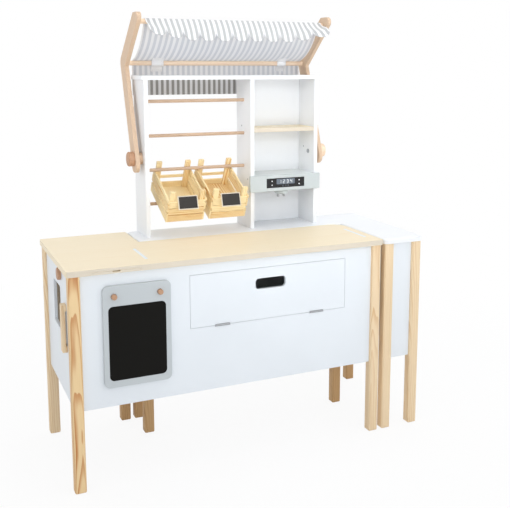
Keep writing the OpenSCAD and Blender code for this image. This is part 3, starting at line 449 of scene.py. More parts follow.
# Each finish, named after its colour: slot, name of the material, maker and its settings
FINISHES = {
    "birch": ("birch", "birch top", wood, BIRCH),
    "pine": ("pine", "pine leg", wood, {**PINE, "lines": 1.2}),
    "ash": ("pine", "pale pine leg", wood, PINE),
    "shaded": ("pine", "shaded pine leg", wood, PINE),
    "beech": ("beech", "beech arm", wood, BEECH),
    "rail": ("beech", "beech rail", wood, BEECH),
    "rod": ("beech", "pale beech rod", wood, BEECH),
    "knob": ("beech", "beech knob", wood, {**BEECH, "lines": 0.3}),
    "crate": ("crate_pine", "crate pine", wood, CRATE),
    "white": ("white_paint", "white paint", paint, {}),
    "shelf": ("white_paint", "shelf white", paint, {}),
    "grey": ("grey_paint", "grey paint", paint, {"gloss": 0.42}),
    "lid": ("grey_paint", "lit lid grey", paint, {"gloss": 0.42}),
    "frame": ("grey_paint", "frame grey", paint, {"gloss": 0.42}),
    "black": ("chalk_black", "blackboard", blackboard, {}),
    "label": ("chalk_black", "price label", blackboard, {}),
    "hardboard": ("hardboard", "hardboard", fibreboard, {}),
    "display": ("display_black", "display panel", plastic, {"gloss": 0.12}),
    "screen": ("display_black", "display screen", plastic, {"gloss": 0.3}),
    "digit": ("display_black", "display digits", plastic, {"gloss": 0.4}),
    "steel": ("steel", "brushed steel", metal, {}),
    "cloth": ("striped_cloth", "striped cotton", woven, {}),
    "tape": ("white_tape", "white tape", woven, {}),
}
MADE = {}


def finish_of(name):
    """The material of a finish, made once."""
    if name not in MADE:
        title, maker, settings = FINISHES[name][1:]
        finish = Finish(title)
        maker(finish, name, **settings)
        MADE[name] = finish.material
    return MADE[name]


# Shapes

WELD = 0.02 * MM
FLAT = radians(0.7)
SHARP = radians(32)
ROUND_STEPS = 4


def clamped(share):
    return min(1.0, max(0.0, share))


def skin(bm, rows, around=False):
    """Fills the gaps between rows of corners with quads. around closes each row to a ring."""
    count = len(rows[0])
    for a, b in zip(rows, rows[1:]):
        for k in range(count if around else count - 1):
            j = (k + 1) % count
            bm.faces.new((a[k], a[j], b[j], b[k]))


def slab(bm, near, far):
    """Fills a thin closed plate between two outlines."""
    bm.faces.new(near)
    bm.faces.new(far[::-1])
    for i in range(len(near)):
        j = (i + 1) % len(near)
        bm.faces.new((near[j], near[i], far[i], far[j]))


def rounded(wide, tall, corner, steps):
    """The outline of a rectangle with round corners, from half its width and half its height."""
    spots = []
    for sx, sy, start in ((1, 1, 0), (-1, 1, 90), (-1, -1, 180), (1, -1, 270)):
        for k in range(steps + 1):
            a = radians(start + 90 * k / steps)
            spots.append((sx * (wide - corner) + corner * cos(a), sy * (tall - corner) + corner * sin(a)))
    return spots


def islands(bm):
    """The separate boards of a mesh, as lists of corners."""
    left = set(bm.verts)
    found = []
    while left:
        todo = [left.pop()]
        board = []
        while todo:
            v = todo.pop()
            board.append(v)
            for e in v.link_edges:
                w = e.other_vert(v)
                if w in left:
                    left.remove(w)
                    todo.append(w)
        found.append(board)
    return sorted(found, key=lambda b: tuple(round(sum(v.co[i] for v in b) / len(b), 4) for i in range(3)))


def lay_grain(bm, seed, turn, along):
    """Gives each board its own grain: x runs along the board, and every board is cut from another place."""
    layer = bm.verts.layers.float_vector.new("grain")
    tone = bm.verts.layers.float.new("board")
    chance = random.Random(seed)
    for board in islands(bm):
        spots = [turn @ v.co for v in board]
        low = Vector([min(p[i] for p in spots) for i in range(3)])
        span = [max(p[i] for p in spots) - low[i] for i in range(3)]
        order = sorted(range(3), key=lambda i: -span[i])
        if along is not None:
            order = [along] + [i for i in order if i != along]
        start = Vector([chance.uniform(0, 40), chance.uniform(-0.02, 0.02), chance.uniform(-0.01, 0.02)])
        shade = chance.uniform(-1, 1)
        for v, p in zip(board, spots):
            local = p - low
            v[tone] = shade
            v[layer] = start + Vector([local[order[0]], local[order[1]] - span[order[1]] / 2, local[order[2]]])


def linked(name, data):
    """A new object in the scene."""
    made = bpy.data.objects.new(name, data)
    bpy.context.scene.collection.objects.link(made)
    return made


def meshed(name, bm, material):
    """A mesh of one material, in place of the bmesh."""
    mesh = bpy.data.meshes.new(name)
    bm.to_mesh(mesh)
    bm.free()
    mesh.materials.append(material)
    return mesh


def piece(name, bm, finish, body, smooth=40):
    """Turns a mesh into a piece of the stall that rides on a body."""
    mesh = meshed(name, bm, finish_of(finish))
    mesh.polygons.foreach_set("use_smooth", [True] * len(mesh.polygons))
    mesh.set_sharp_from_angle(angle=radians(smooth))
    made = linked(name, mesh)
    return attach(made, body)


def dressed(node, finish, edge=None, turn=None, along=None, first=None, steps=2, fit=None):
    """A copy of a solid with softened edges and its own grain, in the solid's place.

    edge is the rounding's width, a board's if it isn't given. first is a test and a width for edges that are
    rounded otherwise than the rest, and fit moves each corner."""
    source = frame["nodes"][node]
    bm = bmesh.new()
    bm.from_mesh(source.data)
    bmesh.ops.remove_doubles(bm, verts=bm.verts, dist=WELD)
    bmesh.ops.dissolve_limit(bm, angle_limit=FLAT, verts=bm.verts, edges=bm.edges)
    for v in bm.verts if fit else ():
        v.co = fit(v.co)
    rules = [(lambda e: True, sizes().board_edge if edge is None else edge, steps)]
    if first:
        rules.insert(0, (*first, ROUND_STEPS))
    for test, width, segments in rules:
        sharp = [e for e in bm.edges if len(e.link_faces) == 2 and e.calc_face_angle(0) > SHARP and test(e)]
        how = {"offset_type": "OFFSET", "profile": 0.5, "affect": "EDGES", "clamp_overlap": True}
        bmesh.ops.bevel(bm, geom=sharp, offset=width, segments=segments, **how)
    lay_grain(bm, node, turn or Matrix.Identity(3), along)
    made = piece(node + "_dressed", bm, finish, source["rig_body"], 50)
    weighted = made.modifiers.new("flat faces", "WEIGHTED_NORMAL")
    weighted.keep_sharp = True
    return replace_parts(made, node)


def lower_seam():
    """The edges along the flap's lower side, which stay sharp, so that this seam hardly shows."""
    low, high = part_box("flap_door")

    def beside(edge):
        return all(abs(v.co.z - low.z) < 1.5 * MM and low.x - 2 * MM < v.co.x < high.x + 2 * MM for v in edge.verts)

    return beside, sizes().seam_edge


def centre(node):
    """The middle of a solid's box."""
    low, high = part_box(node)
    return (low + high) / 2


# Operators


class StallOperator(bpy.types.Operator):
    """Builds a group of the stall's pieces."""

    bl_idname = "stall.base"
    bl_label = "Stall"
    bl_options = {"REGISTER", "UNDO"}

    def execute(self, context):
        self.build()
        return {"FINISHED"}


class STALL_OT_stage(StallOperator):
    """Camera, pale floor and soft studio light"""

    bl_idname = "stall.stage"
    bl_label = "Stage"

    SENSOR, LENS = 36, 56.319
    SHIFT = (-0.03, -0.13)
    PLACE = (-0.8495, -2.1310, 1.0738)
    YAW, PITCH, ROLL = 24.602, 8.703, -0.113
    DAYLIGHT = (0.97, 0.985, 1.0)
    # Place, target, width in metres, power in watts and spread in degrees
    LAMPS = {
        "key": ((1.5, -3.2, 2.4), (0, 0, 0.6), 2.4, 3, 180),
        "front": ((-0.4, -2.6, 0.7), (0.0, 0.2, 1.35), 1.2, 1.4, 44),
        "shelf": ((0.1, -2.2, 1.6), (0.25, 0.15, 0.7), 0.8, 0.4, 30),
        "left": ((-2.1, -1.0, 1.75), (0.15, 0.15, 0.85), 0.8, 0.5, 32),
        "top": ((0.2, -0.4, 3.6), (0, 0, 0), 2.6, 15, 180),
    }

    def build(self):
        self.camera()
        self.floor()
        self.world()
        for name, settings in self.LAMPS.items():
            self.lamp(name, *settings)

    def camera(self):
        """The camera that took the photograph, from its yaw, pitch and roll."""
        data = bpy.data.cameras.new("camera")
        data.sensor_width = self.SENSOR
        data.lens = self.LENS
        data.shift_x, data.shift_y = self.SHIFT
        data.clip_end = 50
        camera = linked("camera", data)
        yaw, pitch, roll = (radians(a) for a in (self.YAW, self.PITCH, self.ROLL))
        ahead = Vector((sin(yaw) * cos(pitch), cos(yaw) * cos(pitch), -sin(pitch)))
        right = Vector((cos(yaw), -sin(yaw), 0))
        down = ahead.cross(right)
        turned = cos(roll) * right + sin(roll) * down
        lower = cos(roll) * down - sin(roll) * right
        axes = Matrix([[turned[i], -lower[i], -ahead[i]] for i in range(3)])
        camera.matrix_world = Matrix.Translation(self.PLACE) @ axes.to_4x4()
        bpy.context.scene.camera = camera

    def seen(self, nodes):
        """1 for rays from the camera, straight, mirrored or through glass."""
        path = nodes.node("LightPath", out="Is Camera Ray")
        return path.larger(path.out("Is Glossy Ray")).larger(path.out("Is Transmission Ray"))

    def floor(self):
        """A floor that looks white, with the stall's soft shadow near its legs."""
        finish = Finish("studio floor")
        finish.set(base_color=colour("floor"), roughness=0.9, specular_ior_level=0.1)
        seen = self.seen(finish)
        span = finish.node("VectorMath", {0: finish.place()}, out="Value", operation="LENGTH")
        share = 0.9 + finish.between(span, 0.7, 1.9) * 0.1
        glow = finish.node("Emission", {"Color": (1, 1, 1, 1), "Strength": 1.0})
        shader = Wire(finish, finish.shader.outputs[0])
        finish.surface(finish.node("MixShader", {0: seen * share, 1: shader, 2: glow}))
        bm = bmesh.new()
        bmesh.ops.create_grid(bm, x_segments=1, y_segments=1, size=9)
        floor = linked("floor", meshed("floor", bm, finish.material))
        floor.location = (0, 0, -0.4 * MM)

    def world(self):
        """White to look at, and a soft light that is a little darker from the left."""
        world = bpy.data.worlds.new("studio")
        world.use_nodes = True
        nodes = Nodes(world.node_tree)
        aside = nodes.parts(nodes.node("TexCoord", out="Generated"))[0]
        soft = {"Color": (*self.DAYLIGHT, 1), "Strength": 0.9 + aside * 0.21}
        around = nodes.node("Background", soft)
        white = nodes.node("Background", {"Color": (1, 1, 1, 1), "Strength": 1.0})
        nodes.surface(nodes.node("MixShader", {0: self.seen(nodes), 1: around, 2: white}))
        bpy.context.scene.world = world
        bpy.context.scene.view_settings.view_transform = "Standard"

    def lamp(self, name, where, target, width, watts, spread):
        data = bpy.data.lights.new(name, "AREA")
        data.shape = "DISK"
        data.size = width
        data.energy = watts
        data.spread = radians(spread)
        data.color = self.DAYLIGHT
        lamp = linked(name, data)
        lamp.location = where
        lamp.rotation_euler = (Vector(target) - Vector(where)).to_track_quat("-Z", "Y").to_euler()


class STALL_OT_tops(StallOperator):
    """Wooden counter top and white table top with softly rounded upper edges"""

    bl_idname = "stall.tops"
    bl_label = "Tops"

    def build(self):
        slits = [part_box(n) for n in ("counter_partition", "counter_end_panel")]

        def outline(edge, top):
            """True for an upper edge that isn't a slit's."""
            spots = [v.co for v in edge.verts]
            if any(abs(p.z - top) > 0.1 * MM for p in spots):
                return False
            return not any(all(low.x - MM < p.x < high.x + MM for p in spots) for low, high in slits)

        for node, finish in (("counter_top", "birch"), ("table_top", "shelf")):
            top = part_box(node)[1].z
            dressed(node, finish, sizes().under_edge, along=0, first=(lambda e: outline(e, top), sizes().top_edge))


class STALL_OT_legs(StallOperator):
    """Ten square pine legs with rounded edges"""

    bl_idname = "stall.legs"
    bl_label = "Legs"

    def build(self):
        # Pale pine is partly the legs' own paler tone and partly painted light, as on the back left leg, which stands
        # in shade
        woods = {
            "counter_leg_front_left": "pine",
            "counter_leg_front_right": "ash",
            "counter_leg_back_left": "ash",
            "table_leg_wing_left": "ash",
            "table_leg_wing_right": "ash",
        }
        for node in sorted(frame["nodes"]):
            if "_leg_" in node:
                # Legs not listed take the shaded pine, which is painted shade for the legs at the back and inside
                dressed(node, woods.get(node, "shaded"), sizes().leg_edge)


class STALL_OT_panels(StallOperator):
    """White panels, aprons, partitions and storage shelf of both tables"""

    bl_idname = "stall.panels"
    bl_label = "Panels"

    def build(self):
        dressed("counter_front_panel", "white", first=lower_seam())
        for node in (
            "counter_side_panel", "counter_partition", "counter_end_panel", "storage_shelf",
            "wing_front_panel", "wing_side_panel", "table_back_apron",
        ):
            dressed(node, "white")
        dressed("wing_back_panel", "hardboard")


class STALL_OT_flap(StallOperator):
    """Flap door with its hinges and catch"""

    bl_idname = "stall.flap"
    bl_label = "Flap door"

    def build(self):
        dressed("flap_door", "white", first=lower_seam())
        dressed("flap_catch", "beech")
        for node in ("hinge_frame_leaves", "hinge_flap_leaves"):
            dressed(node, "steel", sizes().hinge_edge)


class STALL_OT_fittings(StallOperator):
    """Pull-out board, runners, bag knob and bar handle of the counter"""

    bl_idname = "stall.fittings"
    bl_label = "Counter fittings"

    OUTWARDS, INWARDS, HIGHER = 1 * MM, 2.5 * MM, 3 * MM
    SHORTER = 0.93

    def build(self):
        dressed("pull_out_board", "birch", sizes().pull_edge)
        dressed("board_runners", "beech")
        dressed("side_knob", "knob")
        low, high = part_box("side_handle")

        def bar(p):
            """Makes the bar a little deeper and ends it a little higher."""
            deeper = -self.OUTWARDS if p.x < low.x + MM else self.INWARDS if p.x < high.x - MM else 0
            return Vector((p.x + deeper, p.y, high.z + self.HIGHER - (high.z - p.z) * self.SHORTER))

        dressed("side_handle", "ash", fit=bar)


class STALL_OT_chalk_board(StallOperator):
    """Chalk board on its two pegs"""

    bl_idname = "stall.chalk_board"
    bl_label = "Chalk board"

    def build(self):
        dressed("chalk_board", "frame")
        dressed("chalk_field", "black", sizes().field_edge)
        dressed("chalk_pegs", "knob", along=1)


class STALL_OT_shelf(StallOperator):
    """Display shelf with its boards, rails and screws"""

    bl_idname = "stall.shelf"
    bl_label = "Display shelf"

    # Depth and height of the screws, in millimetres
    BAY_SCREW, LOW_SCREW, BOLT_SCREW = (70, 891), (24, 730), (71, 819)
    # Radius and height of each ring of a screw's head, in millimetres, and whether it is six-sided
    HEAD = ((2.7, -0.2, False), (2.7, 0.15, False), (2.2, 0.5, False), (1.3, 0.6, True), (1.25, 0.15, True))
    SEGMENTS = 24

    def build(self):
        for node in (
            "shelf_left_panel", "shelf_divider", "shelf_right_panel", "shelf_top_board", "shelf_back_panel",
        ):
            dressed(node, "shelf")
        dressed("bay_shelf", "birch")
        dressed("display_rails", "rail")
        self.screws()

    def screws(self):
        """Socket screws in the divider and in both faces of the right panel."""
        divider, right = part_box("shelf_divider"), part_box("shelf_right_panel")
        bm = bmesh.new()
        for x, side, (deep, up) in (
            (divider[0].x, -1, self.BAY_SCREW), (divider[0].x, -1, self.LOW_SCREW),
            (right[0].x, -1, self.BOLT_SCREW), (right[1].x, 1, self.BAY_SCREW), (right[1].x, 1, self.LOW_SCREW),
        ):
            self.screw(bm, Vector((x, divider[0].y + deep * MM, up * MM)), side)
        bmesh.ops.recalc_face_normals(bm, faces=bm.faces)
        piece("shelf_screws", bm, "steel", "shelf_table")

    def screw(self, bm, at, side):
        """A low domed head with a six-sided socket, on a face that looks along side."""
        half = pi / 6
        rows = []
        for radius, height, six in self.HEAD:
            row = []
            for k in range(self.SEGMENTS):
                a = 2 * pi * k / self.SEGMENTS
                reach = radius * (cos(half) / cos(a % (2 * half) - half) if six else 1)
                spot = Vector((side * height, reach * cos(a), reach * sin(a)))
                row.append(bm.verts.new(at + spot * MM))
            rows.append(row)
        skin(bm, rows, around=True)
        bm.faces.new(rows[-1])
        bm.faces.new(rows[0])


class STALL_OT_coffee_machine(StallOperator):
    """Toy coffee machine with its display, brew head and spouts"""

    bl_idname = "stall.coffee_machine"
    bl_label = "Coffee machine"

    SCREEN = (62 * MM, 16 * MM, 0.25 * MM, 1.2 * MM)
    BUTTON = (4 * MM, 4 * MM, 0.3 * MM, 1.9 * MM)
    SCREEN_UP = 4 * MM
    BUTTON_ASIDE, BUTTON_UP = 46 * MM, 6 * MM
    RING_STEP, RING_DOWN, RING_OUTER, RING_INNER = 9 * MM, 9.5 * MM, 2.4 * MM, 1.632 * MM
    RING_THICK, DIGIT_THICK, SUNK = 0.2 * MM, 0.12 * MM, 0.1 * MM
    # Bars of a digit: place in half widths and half heights, and whether the bar lies flat
    BARS = {
        "top": (0, 1, True), "mid": (0, 0, True), "low": (0, -1, True),
        "tl": (-1, 0.5, False), "tr": (1, 0.5, False), "ll": (-1, -0.5, False), "lr": (1, -0.5, False),
    }
    DIGITS = (
        ("tr", "lr"), ("top", "tr", "mid", "ll", "low"), ("top", "tr", "mid", "lr", "low"), ("tl", "tr", "mid", "lr"),
    )

    def build(self):
        dressed("machine_front", "grey")
        # The lid's paler grey is painted light on the machine's top
        dressed("machine_top", "lid")
        dressed("brew_head", "grey", along=2)
        dressed("brew_spouts", "steel", sizes().metal_edge)
        dressed("machine_display", "display", sizes().metal_edge)
        self.face()

    def face(self):
        """Screen with digits, and the buttons round it, as thin printed plates on the display."""
        mid = centre("machine_display")
        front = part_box("machine_display")[0].y
        bm = bmesh.new()
        self.plate(bm, mid.x, mid.z + self.SCREEN_UP, front, *self.SCREEN)
        for i in (-1, 0, 1):
            self.ring(bm, mid.x + i * self.RING_STEP, mid.z - self.RING_DOWN, front)
        piece("display_screen", bm, "screen", "shelf_table")
        bm = bmesh.new()
        for i, bars in enumerate(self.DIGITS):
            x = mid.x + (i - 1.5) * sizes().digit_height * 1.25
            self.digit(bm, bars, x, mid.z + self.SCREEN_UP, front - self.SCREEN[2])
        piece("display_digits", bm, "digit", "shelf_table")
        bm = bmesh.new()
        for side in (-1, 1):
            for up in (self.BUTTON_UP, -self.BUTTON_UP):
                self.plate(bm, mid.x + side * self.BUTTON_ASIDE, mid.z + up, front, *self.BUTTON)
        piece("display_buttons", bm, "digit", "shelf_table")

    def plate(self, bm, x, z, front, width, height, thick, corner):
        """A thin plate with round corners on a face that looks towards -Y."""
        spots = [(x + dx, z + dz) for dx, dz in rounded(width / 2, height / 2, corner, 4)]
        self.raised(bm, spots, front, thick)

    def raised(self, bm, spots, front, thick):
        near = [bm.verts.new((x, front - thick, z)) for x, z in spots]
        far = [bm.verts.new((x, front + self.SUNK, z)) for x, z in spots]
        slab(bm, near, far)

    def digit(self, bm, bars, x, z, front):
        """A digit of up to seven bars."""
        tall = sizes().digit_height
        wide, thin = tall * 0.5, tall * 0.17
        for name in bars:
            dx, dz, flat = self.BARS[name]
            length = (wide if flat else tall / 2) - thin * 0.4
            across, up = (length / 2, thin / 2) if flat else (thin / 2, length / 2)
            mid_x, mid_z = x + dx * wide / 2, z + dz * tall / 2
            spots = [(mid_x + a * across, mid_z + b * up) for a, b in ((1, -1), (1, 1), (-1, 1), (-1, -1))]
            self.raised(bm, spots, front, self.DIGIT_THICK)

    def ring(self, bm, x, z, front):
        """A round button outline."""
        count = 20
        outer, inner, near, far = self.RING_OUTER, self.RING_INNER, front - self.RING_THICK, front + self.SUNK
        rows = []
        for r, y in ((outer, far), (outer, near), (inner, near), (inner, far)):
            angles = [2 * pi * k / count for k in range(count)]
            rows.append([bm.verts.new((x + r * cos(a), y, z + r * sin(a))) for a in angles])
        skin(bm, rows + rows[:1], around=True)


class STALL_OT_awning_frame(StallOperator):
    """Arms, rods, bolts, spacers, stops and knobs of the awning"""

    bl_idname = "stall.awning_frame"
    bl_label = "Awning frame"

    def build(self):
        for node in ("arm_left", "arm_right"):
            dressed(node, "beech", sizes().arm_edge, along=2, steps=3)
        # The rods' pale beech is partly painted light, and the right knob takes it only as painted light for the strong
        # light from the right
        for node, finish in (
            ("front_rod", "rod"), ("middle_rod", "rod"), ("arm_spacers", "beech"), ("stop_pegs", "beech"),
            ("knob_left", "knob"), ("knob_right", "rod"),
        ):
            dressed(node, finish, along=0)
        dressed("pivot_bolts", "steel", sizes().metal_edge)


class STALL_OT_awning_cloth(StallOperator):
    """Striped cloth over both rods, with its scalloped valance and the tapes that hold it"""

    bl_idname = "stall.awning_cloth"
    bl_label = "Awning cloth"

    SCALLOPS = 11
    LOBE_COLUMNS = 22
    # The scallops' roundness, and the share of their width times depth that it leaves
    LOBE_POWER, LOBE_SHARE = 2.3, 0.806
    # Steps of the section: valance, round the front rod, slack, round the middle rod, rear flap
    HANG, OVER, SLACK, ROUND, TAIL = 22, 12, 40, 8, 20
    # Degrees: where the cloth leaves the rod in front, how the valance leans, how steeply the slack leaves the rods
    BROW, LEAN_TOP, LEAN_LOSS, SAG = 132, 48, 30, 26
    # The valance's ends swing forward: degrees at the end, and the share of the width that swings
    LEFT_SWING, RIGHT_SWING = (21, 0.24), (27, 0.2)
    # How far the scallops swell out and in, how far the valance waves, and how far its right corner hangs aside
    SWELL_OUT, SWELL_IN, VALANCE_WAVE, CORNER_ASIDE = 2.2 * MM, 1.2 * MM, 2.5 * MM, 9 * MM
    CORNER_FROM, CORNER_SPAN = 0.88, 0.07
    # The slack's waves: how many across and along, their place in the noise and their height
    WAVES = ((13, 1.2, 0.4, 1.0), (27, 2.1, 5.2, 0.5))
    # Rows in which the grey stripes turn paler behind the front rod as painted light, and the rear hem's painted shade,
    # from above the shelf's board that shades it
    FADE_ROWS, HEM_ABOVE, HEM_SPAN = 8, 12 * MM, 16 * MM
    # The rear flap's wave, and the share of the flap that hangs straight above it
    REAR_WAVE, REAR_STRAIGHT = 3 * MM, 0.3
    # The tapes: left edge from the ties' box, width and thickness
    TAPE_LEFT, TAPE_WIDE, TAPE_NARROW, TAPE_THICK = 7 * MM, 37 * MM, 30 * MM, 0.9 * MM
    TAPE_COLUMNS, TAPE_STEP = 8, 1.6 * MM
    # Where a tape is sewn on, in millimetres from the rod's middle, and its way round the rod in degrees
    SEWN, FLAP, BEND = (24, 21, 18), (19, 22, 25), range(150, 291, 10)
    UNDER_CLOTH, OFF_ROD = 0.6 * MM, 1.4 * MM

    def build(self):
        self.low, self.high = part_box("awning_sheet")
        front, middle = centre("front_rod"), centre("middle_rod")
        self.tip = Vector((front.y, front.z))
        self.elbow = Vector((middle.y, middle.z))
        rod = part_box("front_rod")
        self.reach = (rod[1].z - rod[0].z) / 2 + 0.3 * MM + sizes().cloth_thickness / 2
        self.points = self.path()
        self.run = [0.0, *accumulate((b - a).length for a, b in zip(self.points, self.points[1:]))]
        self.length = self.run[-1]
        cloth = self.cloth()
        ties = self.ties()
        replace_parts(ties, "rod_ties")

    def ray(self, angle):
        return Vector((cos(radians(angle)), sin(radians(angle))))

    def on_rod(self, rod, angle):
        """The cloth's middle on a rod, at an angle from the back."""
        return rod + self.reach * self.ray(angle)

    def path(self):
        """The cloth's section from the valance's hem over both rods to the rear hem, as [y, z] points."""
        chord = self.elbow - self.tip
        rise = 90 - degrees(atan2(-chord.y, chord.x))
        leave, meet = rise - self.SAG, rise + self.SAG
        hang = [self.on_rod(self.tip, self.BROW)]
        for k in range(1, self.HANG + 1):
            lean = radians(self.LEAN_TOP - self.LEAN_LOSS * k / self.HANG)
            hang.append(hang[-1] + sizes().valance_length / self.HANG * Vector((-sin(lean), -cos(lean))))
        points = hang[::-1]
        turn = leave - self.BROW
        points += [self.on_rod(self.tip, self.BROW + turn * k / self.OVER) for k in range(1, self.OVER + 1)]
        first, last = self.on_rod(self.tip, leave), self.on_rod(self.elbow, meet)
        out, back = self.ray(leave - 90), self.ray(meet - 90)
        gap = last - first
        bend = first + out * (gap.x * back.y - gap.y * back.x) / (out.x * back.y - out.y * back.x)
        self.slack_rows = (len(points), len(points) + self.SLACK)
        for k in range(1, self.SLACK + 1):
            t = k / self.SLACK
            points.append((1 - t) ** 2 * first + 2 * t * (1 - t) * bend + t * t * last)
        points += [self.on_rod(self.elbow, meet * (1 - k / self.ROUND)) for k in range(1, self.ROUND + 1)]
        tail = points[-1]
        drop = tail.y - self.low.z
        points += [tail + Vector((0, -drop * k / self.TAIL)) for k in range(1, self.TAIL + 1)]
        return points

    def cloth(self):
        count = self.SCALLOPS * self.LOBE_COLUMNS
        width = self.high.x - self.low.x
        bm = bmesh.new()
        layer = bm.verts.layers.float_vector.new("weave")
        zone = bm.verts.layers.float_vector.new("zone")
        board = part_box("shelf_top_board")[0].z
        rows = []
        for r in range(len(self.points)):
            # Painted light: the grey stripes turn paler behind the front rod, where the slack is brightly lit
            lit_share = clamped((r - self.HANG) / self.FADE_ROWS)
            row = []
            for c in range(count + 1):
                u = c / count
                aside, spot, along, inside = self.drape(r, u)
                v = bm.verts.new((self.low.x + width * u + aside, spot.x, spot.y))
                v[layer] = (width * u, along, min(u * width, (1 - u) * width, inside))
                # Painted shade: the rear hem darkens below the shelf's board, which shades it
                rear = clamped((board + self.HEM_ABOVE - spot.y) / self.HEM_SPAN)
                v[zone] = (lit_share, rear, lit_share * (1 - rear))
                row.append(v)
            rows.append(row)
        skin(bm, rows)
        bmesh.ops.recalc_face_normals(bm, faces=bm.faces)
        cloth = piece("awning_cloth", bm, "cloth", "awning", 180)
        self.thicken(cloth, sizes().cloth_thickness)
        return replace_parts(cloth, "awning_sheet", "awning_valance")

    def thicken(self, made, thickness):
        solid = made.modifiers.new("thickness", "SOLIDIFY")
        solid.thickness = thickness
        solid.offset = 0

    def drape(self, r, u):
        """How far aside and where a point of the cloth hangs, and how far it is from the section's start and hem."""
        if r <= self.HANG:
            return self.drape_valance(r, u)
        point = self.points[r]
        low, high = self.slack_rows
        if low <= r <= high:
            t = (r - low) / (high - low)
            wave = sum(h * noise.noise(Vector((u * across, t * along, seed))) for across, along, seed, h in self.WAVES)
            ahead = (self.points[r + 1] - self.points[r - 1]).normalized()
            point = point + Vector((-ahead.y, ahead.x)) * sin(pi * t) * sizes().cloth_wave * wave
        elif r > high:
            t = (r - high) / (len(self.points) - 1 - high)
            wave = noise.noise(Vector((u * 10, t, 8.7)))
            point = point + Vector((1, 0)) * max(0.0, t - self.REAR_STRAIGHT) * self.REAR_WAVE * (wave + 0.4)
        return 0.0, point, self.run[r], self.length - self.run[r]

    def drape_valance(self, r, u):
        """The valance: cut in scallops, swollen a little, with ends that swing forward."""
        lobe = 2 * ((u * self.SCALLOPS) % 1.0) - 1
        round_off = max(0.0, 1 - abs(lobe) ** self.LOBE_POWER) ** 0.5
        whole = self.run[self.HANG]
        kept = 1 - sizes().scallop_depth * (1 - round_off) / whole
        share = 1 - r / self.HANG
        cut = whole - whole * share * kept
        swell = share * share * (self.SWELL_OUT * round_off - self.SWELL_IN)
        swell += share * self.VALANCE_WAVE * noise.noise(Vector((u * 9, share, 3.1)))
        rod = self.points[self.HANG]
        hang = self.at(cut) + Vector((-1, 0.35)) * swell - rod
        (left, left_part), (right, right_part) = self.LEFT_SWING, self.RIGHT_SWING
        swing = max(0.0, left * (1 - u / left_part), right * (1 - (1 - u) / right_part))
        turn = radians(swing) * min(1.0, share * 1.5)
        spot = rod + Vector((
            hang.x * cos(turn) + hang.y * sin(turn),
            hang.y * cos(turn) - hang.x * sin(turn),
        ))
        aside = share * share * self.CORNER_ASIDE * clamped((u - self.CORNER_FROM) / self.CORNER_SPAN)
        return aside, spot, cut, cut - whole * (1 - kept)

    def at(self, distance):
        """The section's point at a distance from its start."""
        points, run = self.points, self.run
        for k in range(1, len(run)):
            if distance <= run[k]:
                share = (distance - run[k - 1]) / (run[k] - run[k - 1])
                return points[k - 1].lerp(points[k], share)
        return points[-1].copy()

    def tie_path(self):
        """Section of a tape: sewn under the slack, round the rod's front, and sewn on the rear flap."""
        under = sizes().cloth_thickness / 2 + self.UNDER_CLOTH
        sewn = [self.slack_near(d * MM) - Vector((0, under)) for d in self.SEWN]
        bend = [self.elbow + (self.reach + self.OFF_ROD) * self.ray(a) for a in self.BEND]
        flap = [self.elbow + Vector((self.reach - under, -d * MM)) for d in self.FLAP]
        return sewn + bend + flap

    def slack_near(self, distance):
        """The slack's point at a distance before the middle rod."""
        points = self.points
        last = self.slack_rows[1] - 1
        for k in range(last, self.slack_rows[0], -1):
            if (points[k] - points[last]).length >= distance:
                return points[k]
        return points[last]

    def ties(self):
        """Two sewn tapes that run from the cloth's underside round the middle rod to its rear flap."""
        low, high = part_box("rod_ties")
        path = self.tie_path()
        bm = bmesh.new()
        layer = bm.verts.layers.float_vector.new("weave")
        count = self.TAPE_COLUMNS
        for x, wide in ((low.x - self.TAPE_LEFT, self.TAPE_WIDE), (high.x - self.TAPE_NARROW, self.TAPE_NARROW)):
            rows = []
            for k, point in enumerate(path):
                row = []
                for c in range(count + 1):
                    v = bm.verts.new((x + wide * c / count, point.x, point.y))
                    v[layer] = (wide * c / count, k * self.TAPE_STEP, min(c, count - c) * wide / count)
                    row.append(v)
                rows.append(row)
            skin(bm, rows)
        ties = piece("awning_tapes", bm, "tape", "awning", 180)
        self.thicken(ties, self.TAPE_THICK)
        return ties


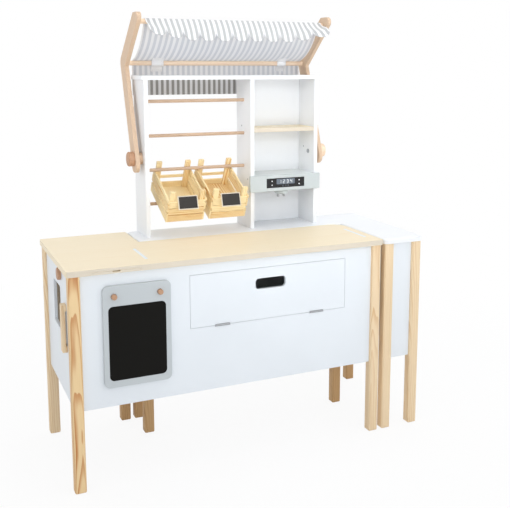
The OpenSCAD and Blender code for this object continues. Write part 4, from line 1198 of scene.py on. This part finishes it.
class STALL_OT_crates(StallOperator):
    """Two slatted crates on the rails, with framed price labels"""

    bl_idname = "stall.crates"
    bl_label = "Crates"

    TILT = 26.5
    FIELD_CORNER, FIELD_RAISED, FIELD_SUNK = 1.2 * MM, 0.35 * MM, 0.3 * MM

    def build(self):
        level = Matrix.Rotation(-radians(self.TILT), 3, "X")
        for side in ("left", "right"):
            dressed(f"crate_{side}", "crate", sizes().slat_edge, turn=level)
            dressed(f"crate_{side}_label", "birch", sizes().label_edge, turn=level, along=0)
            self.field(side)

    def field(self, side):
        """Black writing field on the label's plate, inside its pale border."""
        source = frame["nodes"][f"crate_{side}_label"]
        bm = bmesh.new()
        bm.from_mesh(source.data)
        bmesh.ops.dissolve_limit(bm, angle_limit=FLAT, verts=bm.verts, edges=bm.edges)
        face = max((f for f in bm.faces if f.normal.y < 0), key=lambda f: f.calc_area())
        across = Vector((1, 0, 0))
        up = face.normal.cross(across)
        up = up if up.z > 0 else -up
        middle = face.calc_center_median()
        spots = [v.co - middle for v in face.verts]
        normal = face.normal.copy()
        wide = max(p.dot(across) for p in spots) - sizes().label_border
        tall = max(p.dot(up) for p in spots) - sizes().label_border
        bm.free()
        bm = bmesh.new()
        ring = [middle + across * x + up * y for x, y in rounded(wide, tall, self.FIELD_CORNER, 3)]
        near = [bm.verts.new(p + normal * self.FIELD_RAISED) for p in ring]
        far = [bm.verts.new(p - normal * self.FIELD_SUNK) for p in ring]
        slab(bm, near, far)
        bmesh.ops.recalc_face_normals(bm, faces=bm.faces)
        lay_grain(bm, side, Matrix.Identity(3), 0)
        # The field's lighter grey is painted reflection on the tilted label
        piece(f"crate_{side}_field", bm, "label", f"{side}_crate")


OPERATORS = (
    STALL_OT_stage, STALL_OT_tops, STALL_OT_legs, STALL_OT_panels, STALL_OT_flap, STALL_OT_fittings,
    STALL_OT_chalk_board, STALL_OT_shelf, STALL_OT_coffee_machine, STALL_OT_awning_frame,
    STALL_OT_awning_cloth, STALL_OT_crates,
)


class STALL_PT_panel(bpy.types.Panel):
    """Steps, sizes and colours of the stall"""

    bl_label = "Toy market stall"
    bl_idname = "STALL_PT_panel"
    bl_space_type = "VIEW_3D"
    bl_region_type = "UI"
    bl_category = "Stall"

    def draw(self, context):
        steps = self.layout.column()
        for operator in OPERATORS:
            steps.operator(operator.bl_idname)
        for group in (context.scene.stall_sizes, context.scene.stall_colours):
            box = self.layout.box()
            for name in group.__annotations__:
                box.prop(group, name)


CLASSES = (StallSizes, StallColours, *OPERATORS, STALL_PT_panel)


def register():
    for cls in CLASSES:
        bpy.utils.register_class(cls)
    bpy.types.Scene.stall_sizes = bpy.props.PointerProperty(type=StallSizes)
    bpy.types.Scene.stall_colours = bpy.props.PointerProperty(type=StallColours)


def unregister():
    del bpy.types.Scene.stall_colours
    del bpy.types.Scene.stall_sizes
    for cls in reversed(CLASSES):
        bpy.utils.unregister_class(cls)


def main():
    register()
    for operator in OPERATORS:
        group, name = operator.bl_idname.split(".")
        getattr(getattr(bpy.ops, group), name)()


if __name__ == "__main__":
    main()
